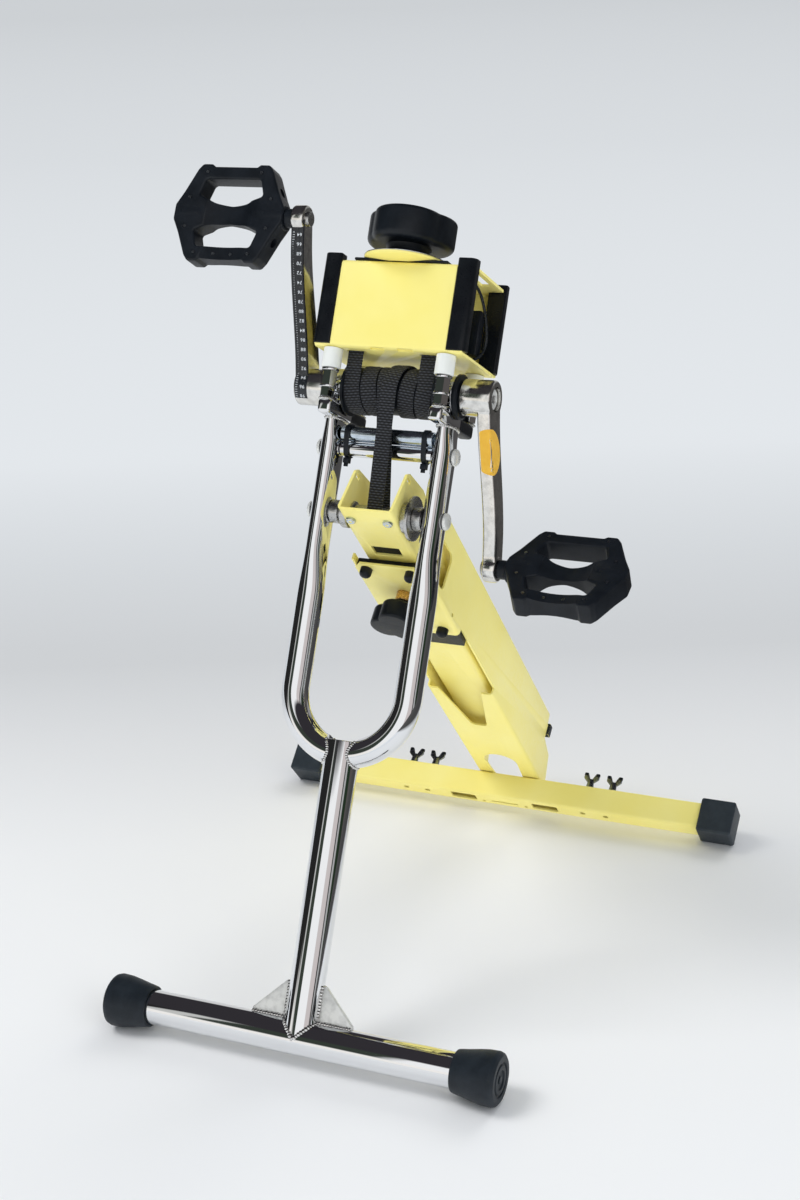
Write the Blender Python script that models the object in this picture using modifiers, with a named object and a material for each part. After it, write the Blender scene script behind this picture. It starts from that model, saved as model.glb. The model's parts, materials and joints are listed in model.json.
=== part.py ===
"""Portable exercise bike: a chrome wishbone fork, a telescoping rear leg and a friction-braked crank.

Lengths are in metres, +Z is up, +X is the rider's left to right seen from the foot bar, +Y runs to the
rear base bar. The origin is on the floor, under the middle of the bike.
Most pieces are placed in one of two tilted frames:
  fork frame: x across, y normal to the fork (to the rear), z up along the fork, from the foot bar's axis
  leg frame: x across, y normal to the leg (to the rear and up), z up along the leg, from the fold pivot
"""
import math

import bmesh
import bpy
from mathutils import Matrix, Vector

MM = 0.001
GAP = 0.3 * MM                  # running clearance between touching pieces

# Fork: foot bar, post and two bent legs
LEAN = math.radians(26.8)       # fork from the vertical, towards the rear
FOOT_Y = -275.0 * MM            # foot bar's axis, from the middle of the bike
TUBE_R = 15.9 * MM              # foot bar and post
TUBE_WALL = 1.8 * MM
RIM_X = 148.2 * MM              # where the rubber tips begin
TIP_LENGTH = 41.0 * MM
TIP_RIM_R = 18.6 * MM
TIP_FOOT_R = 24.0 * MM          # widest, stands on the floor
TIP_END_WALL = 7.0 * MM
POST_TOP = 264.0 * MM
LEG_X = 55.0 * MM               # fork legs' centre lines
LEG_R = 12.7 * MM
LEG_WALL = 1.6 * MM
BEND_Z = 307.0 * MM             # centre of the wishbone's bend
OVAL_X = 9.9 * MM               # pressed part of the legs, half widths
OVAL_Y = 15.6 * MM
OVAL_LENGTH = 50.0 * MM         # from round to fully pressed
OVAL_DROP = 28.9 * MM           # fully pressed, below the fold pivot
GUSSET_REACH = 48.4 * MM
GUSSET_RISE = 48.0 * MM
GUSSET_THICK = 5.0 * MM

# The crank's axis, up the fork, and what is drilled into the legs below it
CRANK_Z = 582.1 * MM
SPACER_DROP = 55.1 * MM
PIVOT_DROP = 113.2 * MM
SPACER_Z = CRANK_Z - SPACER_DROP
PIVOT_Z = CRANK_Z - PIVOT_DROP  # fold pivot
OVAL_TO = PIVOT_Z - OVAL_DROP
OVAL_FROM = OVAL_TO - OVAL_LENGTH

# Cross tubes and bolts between the fork legs
SPACER_R = 6.8 * MM
GUARD_R = 7.0 * MM              # zinc tube tied above the spacer
GUARD_FORWARD = 3.0 * MM
GUARD_Z = SPACER_Z + math.sqrt((SPACER_R + GUARD_R + GAP) ** 2 - GUARD_FORWARD ** 2)
BOLT_R = 3.0 * MM               # M6 button heads
BOLT_HOLE_R = BOLT_R + GAP
BOLT_HEAD_R = 5.3 * MM
BOLT_HEAD = 3.2 * MM
BOLT_DOME = 2.2 * MM
BOLT_LENGTH = 32.0 * MM
AXLE_R = 8.0 * MM               # pivot axle tube
TIE_X = 38.0 * MM
TIE_WIDTH = 4.6 * MM
TIE_THICK = 1.3 * MM

# Crank
CRANK_LENGTH = 152.0 * MM
CRANK_ANGLE = math.radians(16.6)    # left arm, from straight up the fork towards the front
SPINDLE_R = 8.5 * MM
HOUSING_R = 18.5 * MM
HOUSING_IN = 46.5 * MM          # housing from here to there, each side
HOUSING_OUT = 60.5 * MM
BEARING_R = 15.5 * MM
COVER_R = 20.5 * MM
COVER_OUT = 65.4 * MM
BOSS_IN = 66.0 * MM
BOSS_OUT = 96.5 * MM
BOSS_R = 17.0 * MM
ARM_OUT = 106.3 * MM            # arm's outer face at the pedal
ARM_THICK = 13.0 * MM
ARM_EDGE = 2.2 * MM
ARM_ROOT_HALF = 14.0 * MM
ARM_END_HALF = 10.0 * MM
EYE_R = 12.5 * MM                # round end of the arm, round the pedal spindle
RECESS_R = 11.2 * MM
RECESS_DEEP = 9.0 * MM
DRUM_R = 20.5 * MM
DRUM_HALF = 43.6 * MM
FLANGE_R = 24.5 * MM
FLANGE_THICK = 2.2 * MM

# Pedals
PEDAL_IN = 115.0 * MM
PEDAL_OUT = 227.5 * MM
PEDAL_HALF = 45.5 * MM          # fore and aft
PEDAL_EDGE = 36.0 * MM          # half length of the long edges
PEDAL_THICK = 22.0 * MM
PEDAL_TILT_LEFT = math.radians(60.5)
PEDAL_TILT_RIGHT = math.radians(22.0)
BARREL_R = 11.0 * MM
PEDAL_PIN_R = 6.8 * MM
PEDAL_PIN_IN = 16.0 * MM        # into the arm
PEDAL_PIN_SHORT = 22.0 * MM     # from the pedal's outer end
PEDAL_COLLAR_R = 8.8 * MM
WINDOW_IN = 11.5 * MM
WINDOW_CORNER = 16.5 * MM
WINDOW_OUT = 26.0 * MM

# Saddles, studs and bushings that carry the head
SADDLE_HALF = 8.0 * MM
SADDLE_HIGH = 13.0 * MM
SADDLE_LAP = 2.4 * MM           # of the housing into the bar
SADDLE_Z = CRANK_Z - HOUSING_R + SADDLE_LAP - SADDLE_HIGH
STUD_FRONT = -29.0 * MM
STUD_REAR = 46.0 * MM
STUD_R = 4.0 * MM
STACK_HIGH = 28.5 * MM          # weld, nuts and washers under a bushing
STUD_PAST = 8.0 * MM            # of the stud into the head
NUT_R = 7.2 * MM
NUT_HIGH = 8.5 * MM
WASHER = 2.2 * MM
WASHER_R_STUD = 7.9 * MM
BUSHING_R = 8.8 * MM
BUSHING_HIGH = 18.5 * MM
BUSHING_LOW = SADDLE_Z + SADDLE_HIGH + STACK_HIGH

# Head
HEAD_FRONT = -37.1 * MM
HEAD_REAR = 57.0 * MM
HEAD_HIGH = 81.0 * MM
HEAD_LOW = BUSHING_LOW + BUSHING_HIGH
HEAD_TOP = HEAD_LOW + HEAD_HIGH
STUD_TOP = HEAD_LOW + STUD_PAST
HEAD_CORNER = 4.0 * MM          # outer radius of its bends
PANEL_HALF = 56.0 * MM
PLATE_HALF = 71.5 * MM
SHEET = 2.5 * MM
STRIP = 17.5 * MM               # corner strips, across the bike
STRIP_DEEP = 11.5 * MM
STRIP_PROUD = 1.2 * MM          # in front of the panel
STRIP_CLEAR = 0.5 * MM          # above the bottom plate
STRIP_PAST = 5.5 * MM           # above the head's top
STRIP_LOW = HEAD_LOW + SHEET + STRIP_CLEAR
STRIP_TOP = HEAD_TOP + STRIP_PAST
BEND_SLOTS = ((-17.0 * MM, -3.5 * MM), (9.5 * MM, 24.5 * MM))
BEND_SLOT_DEEP = 6.0 * MM
BEND_SLOT_HIGH = 1.8 * MM
KNOB_X = -2.0 * MM              # tension knob's axis
KNOB_Y = -17.0 * MM
DISC_R = 39.0 * MM
DISC_RISE = 3.0 * MM            # above the head
DISC_THICK = 3.0 * MM
DISC_LOW = HEAD_TOP + DISC_RISE
KNOB_R = 41.0 * MM
KNOB_LOBE = 11.0 * MM           # lobe centres, from the axis
KNOB_TURN = math.radians(-76.0)
KNOB_RISE = 12.0 * MM           # above the disc
KNOB_LOW = DISC_LOW + DISC_THICK + KNOB_RISE
KNOB_HIGH = 29.0 * MM
KNOB_EDGE = 5.0 * MM
COLLAR_R = 22.5 * MM
ROD_R = 4.0 * MM
TENSION_HALF = 45.0 * MM        # bar that pulls the band's ends up
TENSION_DEEP = 14.0 * MM
TENSION_HIGH = 14.0 * MM
TENSION_RISE = 35.1 * MM        # above the head's bottom
TENSION_EDGE = 1.5 * MM
TENSION_Z = HEAD_LOW + TENSION_RISE

# Webbing brake band
BAND_WIDTH = 14.8 * MM
BAND_THICK = 1.5 * MM
BAND_PITCH = 16.6 * MM
BAND_CLEAR = 0.5 * MM
BAND_LIFT = 2.6 * MM            # the right half rides over the left at the front
BAND_TURNS = 2                  # each half, inwards
BAND_START = 2.15               # pitches from the middle
BAND_END_CLEAR = 2.0 * MM       # below the tension bar
BAND_SLOT_CLEAR = 2.0 * MM      # round it in the head's bottom

# Rear leg, drawn from the fold pivot
UPPER_HALF = 26.4 * MM
UPPER_FRONT = -14.0 * MM
UPPER_REAR = 36.0 * MM
UPPER_WALL = 2.5 * MM
CHANNEL_BEND = 4.0 * MM         # outer radius of both channels' bends
UPPER_LENGTH = 415.0 * MM
SLIDE_SCREW_X = 18.0 * MM       # two pan heads on its face
SLIDE_SCREW_Z = 13.0 * MM
SLIDE_SCREW_R = 4.4 * MM
SLIDE_SCREW_HIGH = 2.6 * MM
FACE_SLOT_HALF = 14.0 * MM
FACE_SLOT_TOP = 33.5 * MM
FACE_SLOT_LOW = 48.6 * MM
EAR_TOP = 30.7 * MM
EAR_APEX = 20.9 * MM
LOWER_HALF = 36.1 * MM
LOWER_FRONT = -25.4 * MM
LOWER_REAR = 44.7 * MM
LOWER_WALL = 2.0 * MM
LOWER_TOP = 48.0 * MM
WINDOW_TOP = 176.0 * MM
WINDOW_LOW = 305.0 * MM
WINDOW_FRONT = -17.0 * MM
NOTCH_LOW = 387.0 * MM
NOTCH_HALF = 24.0 * MM
NOTCH_TIP_HALF = 8.5 * MM
SLOT_LOW = 107.0 * MM
SLOT_FRONT = -15.0 * MM
SLOT_REAR = 23.0 * MM
BAR_TOP = 511.2 * MM            # base bar's upper face, down the leg
BAR_DEEP = 28.8 * MM
BAR_HIGH = 25.7 * MM
ARCH_RISE = 50.7 * MM           # arch and flanks, above the bar
ARCH_TOP = BAR_TOP - ARCH_RISE
ARCH_HALF = 19.0 * MM
ARCH_FOOT_HALF = 14.0 * MM
FLANK_HOLE_R = 2.2 * MM
FLANK_HOLE_Y = -18.9 * MM
FLANK_HOLE_Z = 145.0 * MM
FLANK_RISE = 18.6 * MM
FLANK_LOW = BAR_TOP - FLANK_RISE
WEB_SHORT = 1.3 * MM            # front web, from the bar's underside
WEB_LOW = BAR_TOP + BAR_HIGH - WEB_SHORT
LINER_TOP = 44.0 * MM
LINER_LOW = 202.0 * MM
LINER_REAR = 20.0 * MM
DISC_OUT = 36.3 * MM            # outer face of the flanged bearings
DISC_THICK_PIVOT = 3.0 * MM
NECK_R = 14.0 * MM
FLANGE_BEARING_R = 20.5 * MM
HUB_R = 10.8 * MM
WASHER_R = 14.0 * MM
BUTTON_X = 22.4 * MM
BUTTON_Z = (57.4 * MM, 165.0 * MM)
BUTTON_R = 5.6 * MM
CLAMP_X = 3.0 * MM
CLAMP_Z = 100.0 * MM
CLAMP_R = 25.5 * MM
CLAMP_LOBE = 7.0 * MM           # lobe centres, from the axis
CLAMP_TURN = math.radians(75.0)
CLAMP_CLEAR = SLIDE_SCREW_HIGH + GAP    # backed off, so that the upper leg slides past
CLAMP_NEAR = -43.0 * MM
CLAMP_HIGH = 19.0 * MM
CLAMP_EDGE = 3.0 * MM
CLAMP_STEM_R = 5.0 * MM
BUSH_R = 7.7 * MM
BUSH_HOLE_R = BUSH_R + GAP

# Base bar
BAR_WALL = 2.0 * MM
BAR_HALF = 254.0 * MM
CAP_COVER = 32.5 * MM           # of the cap over the bar's end
CAP_FROM = BAR_HALF - CAP_COVER
CAP_LENGTH = 37.3 * MM
CAP_WALL = 4.4 * MM
CAP_EDGE = 2.0 * MM
SCREW_X = (92.0 * MM, 118.0 * MM)
WING_R = 4.5 * MM
WING_STEM_R = 2.5 * MM

SIDES = {"left": -1, "right": 1}

COLOURS = {
    "chrome": ((0.86, 0.87, 0.88), 0.08, 1.0),
    "zinc": ((0.62, 0.72, 0.80), 0.25, 1.0),
    "steel": ((0.55, 0.55, 0.55), 0.32, 1.0),
    "forged": ((0.70, 0.69, 0.66), 0.22, 1.0),
    "yellow": ((0.93, 0.83, 0.24), 0.35, 0.0),
    "rubber": ((0.015, 0.018, 0.02), 0.55, 0.0),
    "resin": ((0.018, 0.021, 0.025), 0.40, 0.0),
    "webbing": ((0.020, 0.021, 0.024), 0.85, 0.0),
    "nylon": ((0.82, 0.83, 0.80), 0.40, 0.0),
    "brass": ((0.72, 0.45, 0.20), 0.25, 1.0),
}


def smoothstep(t):
    t = min(max(t, 0.0), 1.0)
    return t * t * (3 - 2 * t)


# Scene set-up

for old in list(bpy.data.objects):
    bpy.data.objects.remove(old, do_unlink=True)

bike = bpy.data.collections.new("portable_exercise_bike")
cutters = bpy.data.collections.new("cutters")
for collection in (bike, cutters):
    bpy.context.scene.collection.children.link(collection)


def material(name):
    if name in bpy.data.materials:
        return bpy.data.materials[name]
    colour, roughness, metallic = COLOURS[name]
    made = bpy.data.materials.new(name)
    made.use_nodes = True
    shader = made.node_tree.nodes["Principled BSDF"]
    shader.inputs["Base Color"].default_value = (*colour, 1)
    shader.inputs["Roughness"].default_value = roughness
    shader.inputs["Metallic"].default_value = metallic
    made.diffuse_color = (*colour, 1)
    return made


def frame(name, at, turn=0.0):
    """An empty that carries a tilted frame, turned about X."""
    empty = bpy.data.objects.new(name, None)
    empty.location = at
    empty.rotation_euler = (turn, 0, 0)
    bike.objects.link(empty)
    return empty


def place(name, mesh, finish, parent, at=(0, 0, 0), turn=(0, 0, 0), smooth=None):
    """A named sub-part with its own finish."""
    made = bpy.data.objects.new(name, mesh)
    made.parent = parent
    made.location = at
    made.rotation_euler = turn
    mesh.materials.clear()
    mesh.materials.append(material(finish))
    if smooth is not None:
        mesh.shade_smooth()
        mesh.set_sharp_from_angle(angle=math.radians(smooth))
    bike.objects.link(made)
    return made


def hide(made):
    """Turns an object into a cutter or a piece that is joined to another."""
    for owner in list(made.users_collection):
        owner.objects.unlink(made)
    cutters.objects.link(made)
    made.hide_render = True
    made.display_type = "WIRE"
    return made


def boolean(target, operation, *others):
    for other in others:
        step = target.modifiers.new(operation.lower(), "BOOLEAN")
        step.operation = operation
        step.object = hide(other)
    return target


def cut(target, *others):
    return boolean(target, "DIFFERENCE", *others)


def join(target, *others):
    return boolean(target, "UNION", *others)


def bevel(target, width, segments=1, angle=40):
    step = target.modifiers.new("bevel", "BEVEL")
    step.width = width
    step.segments = segments
    step.limit_method = "ANGLE"
    step.angle_limit = math.radians(angle)
    return target


# Shapes, as meshes in their own coordinates

AXES = {
    "X": Matrix.Rotation(math.radians(90), 4, "Y"),
    "Y": Matrix.Rotation(math.radians(-90), 4, "X"),
    "Z": Matrix.Identity(4),
}


def box_mesh(low, high):
    low, high = Vector(low), Vector(high)
    shape = bmesh.new()
    bmesh.ops.create_cube(shape, size=1)
    bmesh.ops.scale(shape, vec=high - low, verts=shape.verts)
    bmesh.ops.translate(shape, vec=(low + high) / 2, verts=shape.verts)
    return to_mesh(shape, "box")


def rod_mesh(axis, radius, low, high, at=(0, 0, 0), sides=24, end_radius=None):
    """A cylinder or cone along an axis, from low to high, through the point at."""
    shape = bmesh.new()
    bmesh.ops.create_cone(shape, cap_ends=True, segments=sides, radius1=radius,
                          radius2=radius if end_radius is None else end_radius, depth=high - low)
    bmesh.ops.translate(shape, vec=(0, 0, (low + high) / 2), verts=shape.verts)
    bmesh.ops.transform(shape, matrix=Matrix.Translation(at) @ AXES[axis], verts=shape.verts)
    return to_mesh(shape, "rod")


def to_mesh(shape, name):
    mesh = bpy.data.meshes.new(name)
    shape.to_mesh(mesh)
    shape.free()
    return mesh


def evaluated_mesh(made):
    """The finished mesh of a curve or of an object with modifiers, with its seams welded."""
    bike.objects.link(made)
    bpy.context.view_layer.update()
    mesh = bpy.data.meshes.new_from_object(made.evaluated_get(bpy.context.evaluated_depsgraph_get()))
    bpy.data.objects.remove(made, do_unlink=True)
    shape = bmesh.new()
    shape.from_mesh(mesh)
    bmesh.ops.remove_doubles(shape, verts=shape.verts, dist=0.01 * MM)
    loose = [edge for edge in shape.edges if not edge.link_faces]
    bmesh.ops.delete(shape, geom=loose, context="EDGES")
    bmesh.ops.recalc_face_normals(shape, faces=shape.faces)
    shape.to_mesh(mesh)
    shape.free()
    return mesh


def turned_mesh(axis, profile, at=(0, 0, 0), sides=32):
    """Turns a closed profile of (radius, height) points about an axis."""
    mesh = bpy.data.meshes.new("profile")
    points = [(radius, 0, height) for radius, height in profile]
    mesh.from_pydata(points, [(i, (i + 1) % len(points)) for i in range(len(points))], [])
    made = bpy.data.objects.new("profile", mesh)
    screw = made.modifiers.new("turn", "SCREW")
    screw.steps = sides
    screw.render_steps = sides
    screw.use_merge_vertices = True
    screw.merge_threshold = 0.01 * MM
    mesh = evaluated_mesh(made)
    mesh.transform(Matrix.Translation(at) @ AXES[axis])
    return mesh


def ring_mesh(axis, outer, inner, low, high, at=(0, 0, 0), sides=32):
    return turned_mesh(axis, [(outer, high), (outer, low), (inner, low), (inner, high)], at, sides)


PLANES = {
    "XZ": Matrix(((1, 0, 0, 0), (0, 0, -1, 0), (0, 1, 0, 0), (0, 0, 0, 1))),
    "YZ": Matrix(((0, 0, 1, 0), (1, 0, 0, 0), (0, 1, 0, 0), (0, 0, 0, 1))),
    "XY": Matrix.Identity(4),
}


def plate_mesh(plane, outlines, low, high):
    """A flat outline with its holes, drawn in a plane and extruded from low to high along the normal.

    The normal is +Z for XY, -Y for XZ and +X for YZ, but low and high are always coordinates.
    """
    drawn = bpy.data.curves.new("outline", "CURVE")
    drawn.dimensions = "2D"
    drawn.fill_mode = "BOTH"
    drawn.extrude = (high - low) / 2
    for points in outlines:
        spline = drawn.splines.new("POLY")
        spline.points.add(len(points) - 1)
        for point, (across, up) in zip(spline.points, points):
            point.co = (across, up, 0, 1)
        spline.use_cyclic_u = True
    mesh = evaluated_mesh(bpy.data.objects.new("outline", drawn))
    middle = (low + high) / 2
    mesh.transform(PLANES[plane] @ Matrix.Translation((0, 0, -middle if plane == "XZ" else middle)))
    return mesh


def arc(centre, radius, start, end, count):
    """Points along an arc, angles in degrees."""
    return [(centre[0] + radius * math.cos(math.radians(start + (end - start) * i / count)),
             centre[1] + radius * math.sin(math.radians(start + (end - start) * i / count)))
            for i in range(count + 1)]


def rounded(points, radius, count=3):
    """A polygon with its corners replaced by arcs; radius is one value or one for each corner."""
    radii = radius if isinstance(radius, (list, tuple)) else [radius] * len(points)
    drawn = []
    for i, corner in enumerate(points):
        here = Vector(corner)
        before = (Vector(points[i - 1]) - here)
        after = (Vector(points[(i + 1) % len(points)]) - here)
        if radii[i] <= 0:
            drawn.append(tuple(here))
            continue
        half = before.angle(after) / 2
        reach = min(radii[i] / math.tan(half), before.length * 0.49, after.length * 0.49)
        size = reach * math.tan(half)
        centre = here + (before.normalized() + after.normalized()).normalized() * (size / math.sin(half))
        start = here + before.normalized() * reach - centre
        end = here + after.normalized() * reach - centre
        turn = start.angle_signed(end)
        for step in range(count + 1):
            part = start.copy()
            part.rotate(Matrix.Rotation(-turn * step / count, 2))
            drawn.append(tuple(centre + part))
    return drawn


def lobed(radius, offset, start, lobes=3, count=42):
    """The outline of a knob: round lobes whose centres lie offset from the axis, with notches between."""
    own = radius - offset
    outline = []
    for i in range(count):
        angle = start + 2 * math.pi * i / count
        part = (i * lobes / count + 0.5) % 1 - 0.5
        turn = 2 * math.pi * part / lobes
        reach = offset * math.cos(turn) + math.sqrt(own ** 2 - (offset * math.sin(turn)) ** 2)
        outline.append((reach * math.cos(angle), reach * math.sin(angle)))
    return outline


def knob_mesh(outline, low, high, edge, floor=0.86, top_floor=0.93):
    """A lobed knob: one outline drawn in at the bottom and the top, in five rings."""
    rings = [(low, floor), (low + edge, 1.0), (high - edge, 1.0), (high, top_floor)]
    shape = bmesh.new()
    loops = [[shape.verts.new((x * size, y * size, height)) for x, y in outline] for height, size in rings]
    for lower, upper in zip(loops, loops[1:]):
        for i in range(len(outline)):
            j = (i + 1) % len(outline)
            shape.faces.new((lower[i], lower[j], upper[j], upper[i]))
    shape.faces.new(list(reversed(loops[0])))
    shape.faces.new(loops[-1])
    return to_mesh(shape, "knob")


def band_mesh(path, across, width, thick):
    """A flat band along a path; across holds the direction of its width at each point."""
    shape = bmesh.new()
    loops = []
    for i, point in enumerate(path):
        ahead = (path[min(i + 1, len(path) - 1)] - path[max(i - 1, 0)]).normalized()
        side = (across[i] - ahead * across[i].dot(ahead)).normalized() * width / 2
        out = ahead.cross(side).normalized() * thick / 2
        loops.append([shape.verts.new(point + a * side + b * out)
                      for a, b in ((-1, -1), (1, -1), (1, 1), (-1, 1))])
    for lower, upper in zip(loops, loops[1:]):
        for i in range(4):
            j = (i + 1) % 4
            shape.faces.new((lower[i], lower[j], upper[j], upper[i]))
    shape.faces.new(list(reversed(loops[0])))
    shape.faces.new(loops[-1])
    bmesh.ops.recalc_face_normals(shape, faces=shape.faces)
    return to_mesh(shape, "band")


def merged(*meshes):
    """One mesh that holds several separate solids."""
    shape = bmesh.new()
    for mesh in meshes:
        shape.from_mesh(mesh)
    return to_mesh(shape, "group")


def mirrored(mesh):
    """The same solid on the other side of the bike."""
    shape = bmesh.new()
    shape.from_mesh(mesh)
    bmesh.ops.scale(shape, vec=(-1, 1, 1), verts=shape.verts)
    bmesh.ops.reverse_faces(shape, faces=shape.faces)
    return to_mesh(shape, "mirrored")


def both_sides(mesh):
    return merged(mesh, mirrored(mesh))


def on_side(mesh, side):
    return mesh if side > 0 else mirrored(mesh)


def tool(mesh, parent, at=(0, 0, 0), turn=(0, 0, 0)):
    """A cutter, or a piece joined to another, in a frame."""
    return hide(place("tool", mesh, "steel", parent, at, turn))


# Frames. The leg's angle lets the caps of its bar rest on the floor.

fork = frame("fork_frame", (0, FOOT_Y, TIP_FOOT_R), -LEAN)
pivot_at = Vector((0, FOOT_Y + PIVOT_Z * math.sin(LEAN), TIP_FOOT_R + PIVOT_Z * math.cos(LEAN)))
corner_down = BAR_TOP + BAR_HIGH + CAP_WALL - CAP_EDGE
corner_front = BAR_DEEP - LOWER_FRONT + GAP + CAP_WALL - CAP_EDGE
LEG_ANGLE = (math.acos((pivot_at.z - CAP_EDGE) / math.hypot(corner_down, corner_front))
             + math.atan2(corner_front, corner_down))
leg = frame("leg_frame", pivot_at, LEG_ANGLE)
crank_at = Vector((0, FOOT_Y + CRANK_Z * math.sin(LEAN), TIP_FOOT_R + CRANK_Z * math.cos(LEAN)))
crank = frame("crank_frame", crank_at, CRANK_ANGLE - LEAN)


# Fork

def make_foot_bar():
    half = RIM_X + TIP_LENGTH - TIP_END_WALL - GAP
    place("foot_bar", ring_mesh("X", TUBE_R, TUBE_R - TUBE_WALL, -half, half), "chrome", fork, smooth=40)
    groove = 14.0 * MM
    end = RIM_X + TIP_LENGTH
    profile = [(TIP_FOOT_R - 2.2 * MM, end), (TIP_FOOT_R, end - 2.4 * MM),
               (TIP_FOOT_R - 0.5 * MM, end - 16 * MM),
               (TIP_RIM_R + 1.4 * MM, RIM_X + 6 * MM), (TIP_RIM_R, RIM_X), (TUBE_R + GAP, RIM_X),
               (TUBE_R + GAP, end - TIP_END_WALL), (0, end - TIP_END_WALL), (0, end),
               (groove - 1.2 * MM, end), (groove - 1.2 * MM, end - 1.5 * MM),
               (groove + 1.2 * MM, end - 1.5 * MM), (groove + 1.2 * MM, end)]
    tip = turned_mesh("X", profile, sides=20)
    for side, sign in SIDES.items():
        place(f"foot_tip_{side}", on_side(tip, sign), "rubber", fork, turn=(LEAN, 0, 0), smooth=35)


def make_post():
    post = place("post", ring_mesh("Z", TUBE_R, TUBE_R - TUBE_WALL, 0, POST_TOP), "chrome", fork, smooth=40)
    cut(post, tool(rod_mesh("X", TUBE_R + GAP, -60 * MM, 60 * MM, sides=32), fork))
    seat = TUBE_R + GAP
    triangle = [(TUBE_R - 1 * MM, seat), (GUSSET_REACH, seat), (GUSSET_REACH, seat + 3 * MM),
                (seat + 3 * MM, GUSSET_RISE), (TUBE_R - 1 * MM, GUSSET_RISE)]
    gusset = plate_mesh("XZ", [triangle], -GUSSET_THICK / 2, GUSSET_THICK / 2)
    join(post, tool(both_sides(gusset), fork))


def leg_section(height):
    """Half widths of a fork leg's section: round below, pressed oval above, drawn in at the top."""
    oval = smoothstep((height - OVAL_FROM) / (OVAL_TO - OVAL_FROM))
    top = smoothstep((height - SPACER_Z) / (SADDLE_Z - SPACER_Z))
    across = LEG_R + (OVAL_X - LEG_R) * oval + (SADDLE_HALF - OVAL_X) * top
    deep = LEG_R + (OVAL_Y - LEG_R) * oval + 1.2 * MM * top
    return across / LEG_R, deep / LEG_R


def make_fork_legs():
    bend = [(LEG_X * math.cos(math.radians(a)), BEND_Z + LEG_X * math.sin(math.radians(a)))
            for a in range(-84, 1, 14)]
    heights = [OVAL_FROM, (OVAL_FROM + OVAL_TO) / 2, OVAL_TO, SPACER_Z, SADDLE_Z - GAP]
    points = bend + [(LEG_X, height) for height in heights]
    drawn = bpy.data.curves.new("leg", "CURVE")
    drawn.dimensions = "3D"
    drawn.bevel_depth = LEG_R
    drawn.bevel_resolution = 3
    spline = drawn.splines.new("POLY")
    spline.points.add(len(points) - 1)
    for point, (x, z) in zip(spline.points, points):
        point.co = (x, 0, z, 1)
    tube = evaluated_mesh(bpy.data.objects.new("leg", drawn))
    for vertex in tube.vertices:
        if vertex.co.z > OVAL_FROM:
            across, deep = leg_section(vertex.co.z)
            vertex.co.x = LEG_X + (vertex.co.x - LEG_X) * across
            vertex.co.y *= deep
    for side, sign in SIDES.items():
        made = place(f"fork_leg_{side}", on_side(tube, sign), "chrome", fork, smooth=40)
        wall = made.modifiers.new("wall", "SOLIDIFY")
        wall.thickness = LEG_WALL
        wall.offset = -1
        past = 50 * MM
        cut(made, tool(rod_mesh("Z", TUBE_R + GAP, POST_TOP - past, POST_TOP + past, sides=32), fork))
        for height in (PIVOT_Z, SPACER_Z):
            cut(made, tool(rod_mesh("X", BOLT_HOLE_R, -80 * MM, 80 * MM, (0, 0, height), sides=12), fork))


def make_cross_tubes():
    inner = LEG_X - OVAL_X - GAP
    spacer = ring_mesh("X", SPACER_R, BOLT_HOLE_R, -inner, inner, (0, 0, SPACER_Z), sides=20)
    place("spacer_tube", spacer, "chrome", fork, smooth=40)
    guard = ring_mesh("X", GUARD_R, GUARD_R - 1.5 * MM, -inner, inner, (0, -GUARD_FORWARD, GUARD_Z), sides=20)
    place("guard_tube", guard, "zinc", fork, smooth=40)
    strap = cable_tie()
    axle = ring_mesh("X", AXLE_R, BOLT_HOLE_R, -inner, inner, (0, 0, PIVOT_Z), sides=24)
    place("pivot_axle", axle, "steel", fork, smooth=40)
    thick = 2.0 * MM
    bore = AXLE_R + GAP
    profile = [(WASHER_R, inner), (WASHER_R, inner - thick), (HUB_R, inner - thick), (HUB_R, DISC_OUT + GAP),
               (bore, DISC_OUT + GAP), (bore, inner)]
    spacer = turned_mesh("X", profile, (0, 0, PIVOT_Z), sides=18)
    for side, sign in SIDES.items():
        place(f"cable_tie_{side}", on_side(strap, sign), "resin", fork)
        place(f"pivot_spacer_{side}", on_side(spacer, sign), "chrome", fork, smooth=40)


def cable_tie():
    """A tie round the spacer and the guard tube."""
    lean = math.atan2(GUARD_FORWARD, GUARD_Z - SPACER_Z)

    def loop(extra):
        turn = math.degrees(lean)
        upper = arc((-GUARD_FORWARD, GUARD_Z), GUARD_R + extra, turn, 180 + turn, 10)
        lower = arc((0, SPACER_Z), SPACER_R + extra, 180 + turn, 360 + turn, 10)
        return upper + lower

    return plate_mesh("YZ", [loop(GAP + TIE_THICK), loop(GAP)], TIE_X - TIE_WIDTH / 2, TIE_X + TIE_WIDTH / 2)


def button_bolt(outer, height):
    """A button-headed bolt along +X whose head ends at outer."""
    seat = outer - BOLT_HEAD
    profile = [(BOLT_HEAD_R - BOLT_DOME, outer), (BOLT_HEAD_R - 0.3 * BOLT_DOME, outer - 0.4 * BOLT_DOME),
               (BOLT_HEAD_R, outer - BOLT_DOME), (BOLT_HEAD_R, seat), (BOLT_R, seat),
               (BOLT_R, seat - BOLT_LENGTH), (0, seat - BOLT_LENGTH), (0, outer)]
    return turned_mesh("X", profile, (0, 0, height), sides=12)


def make_bolts():
    outer = LEG_X + OVAL_X + GAP + BOLT_HEAD
    for where, height in (("pivot", PIVOT_Z), ("spacer", SPACER_Z)):
        for side, sign in SIDES.items():
            bolt = button_bolt(outer, height)
            place(f"{where}_bolt_{side}", on_side(bolt, sign), "chrome", fork, smooth=40)


# Crank bearings and the studs that carry the head

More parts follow.
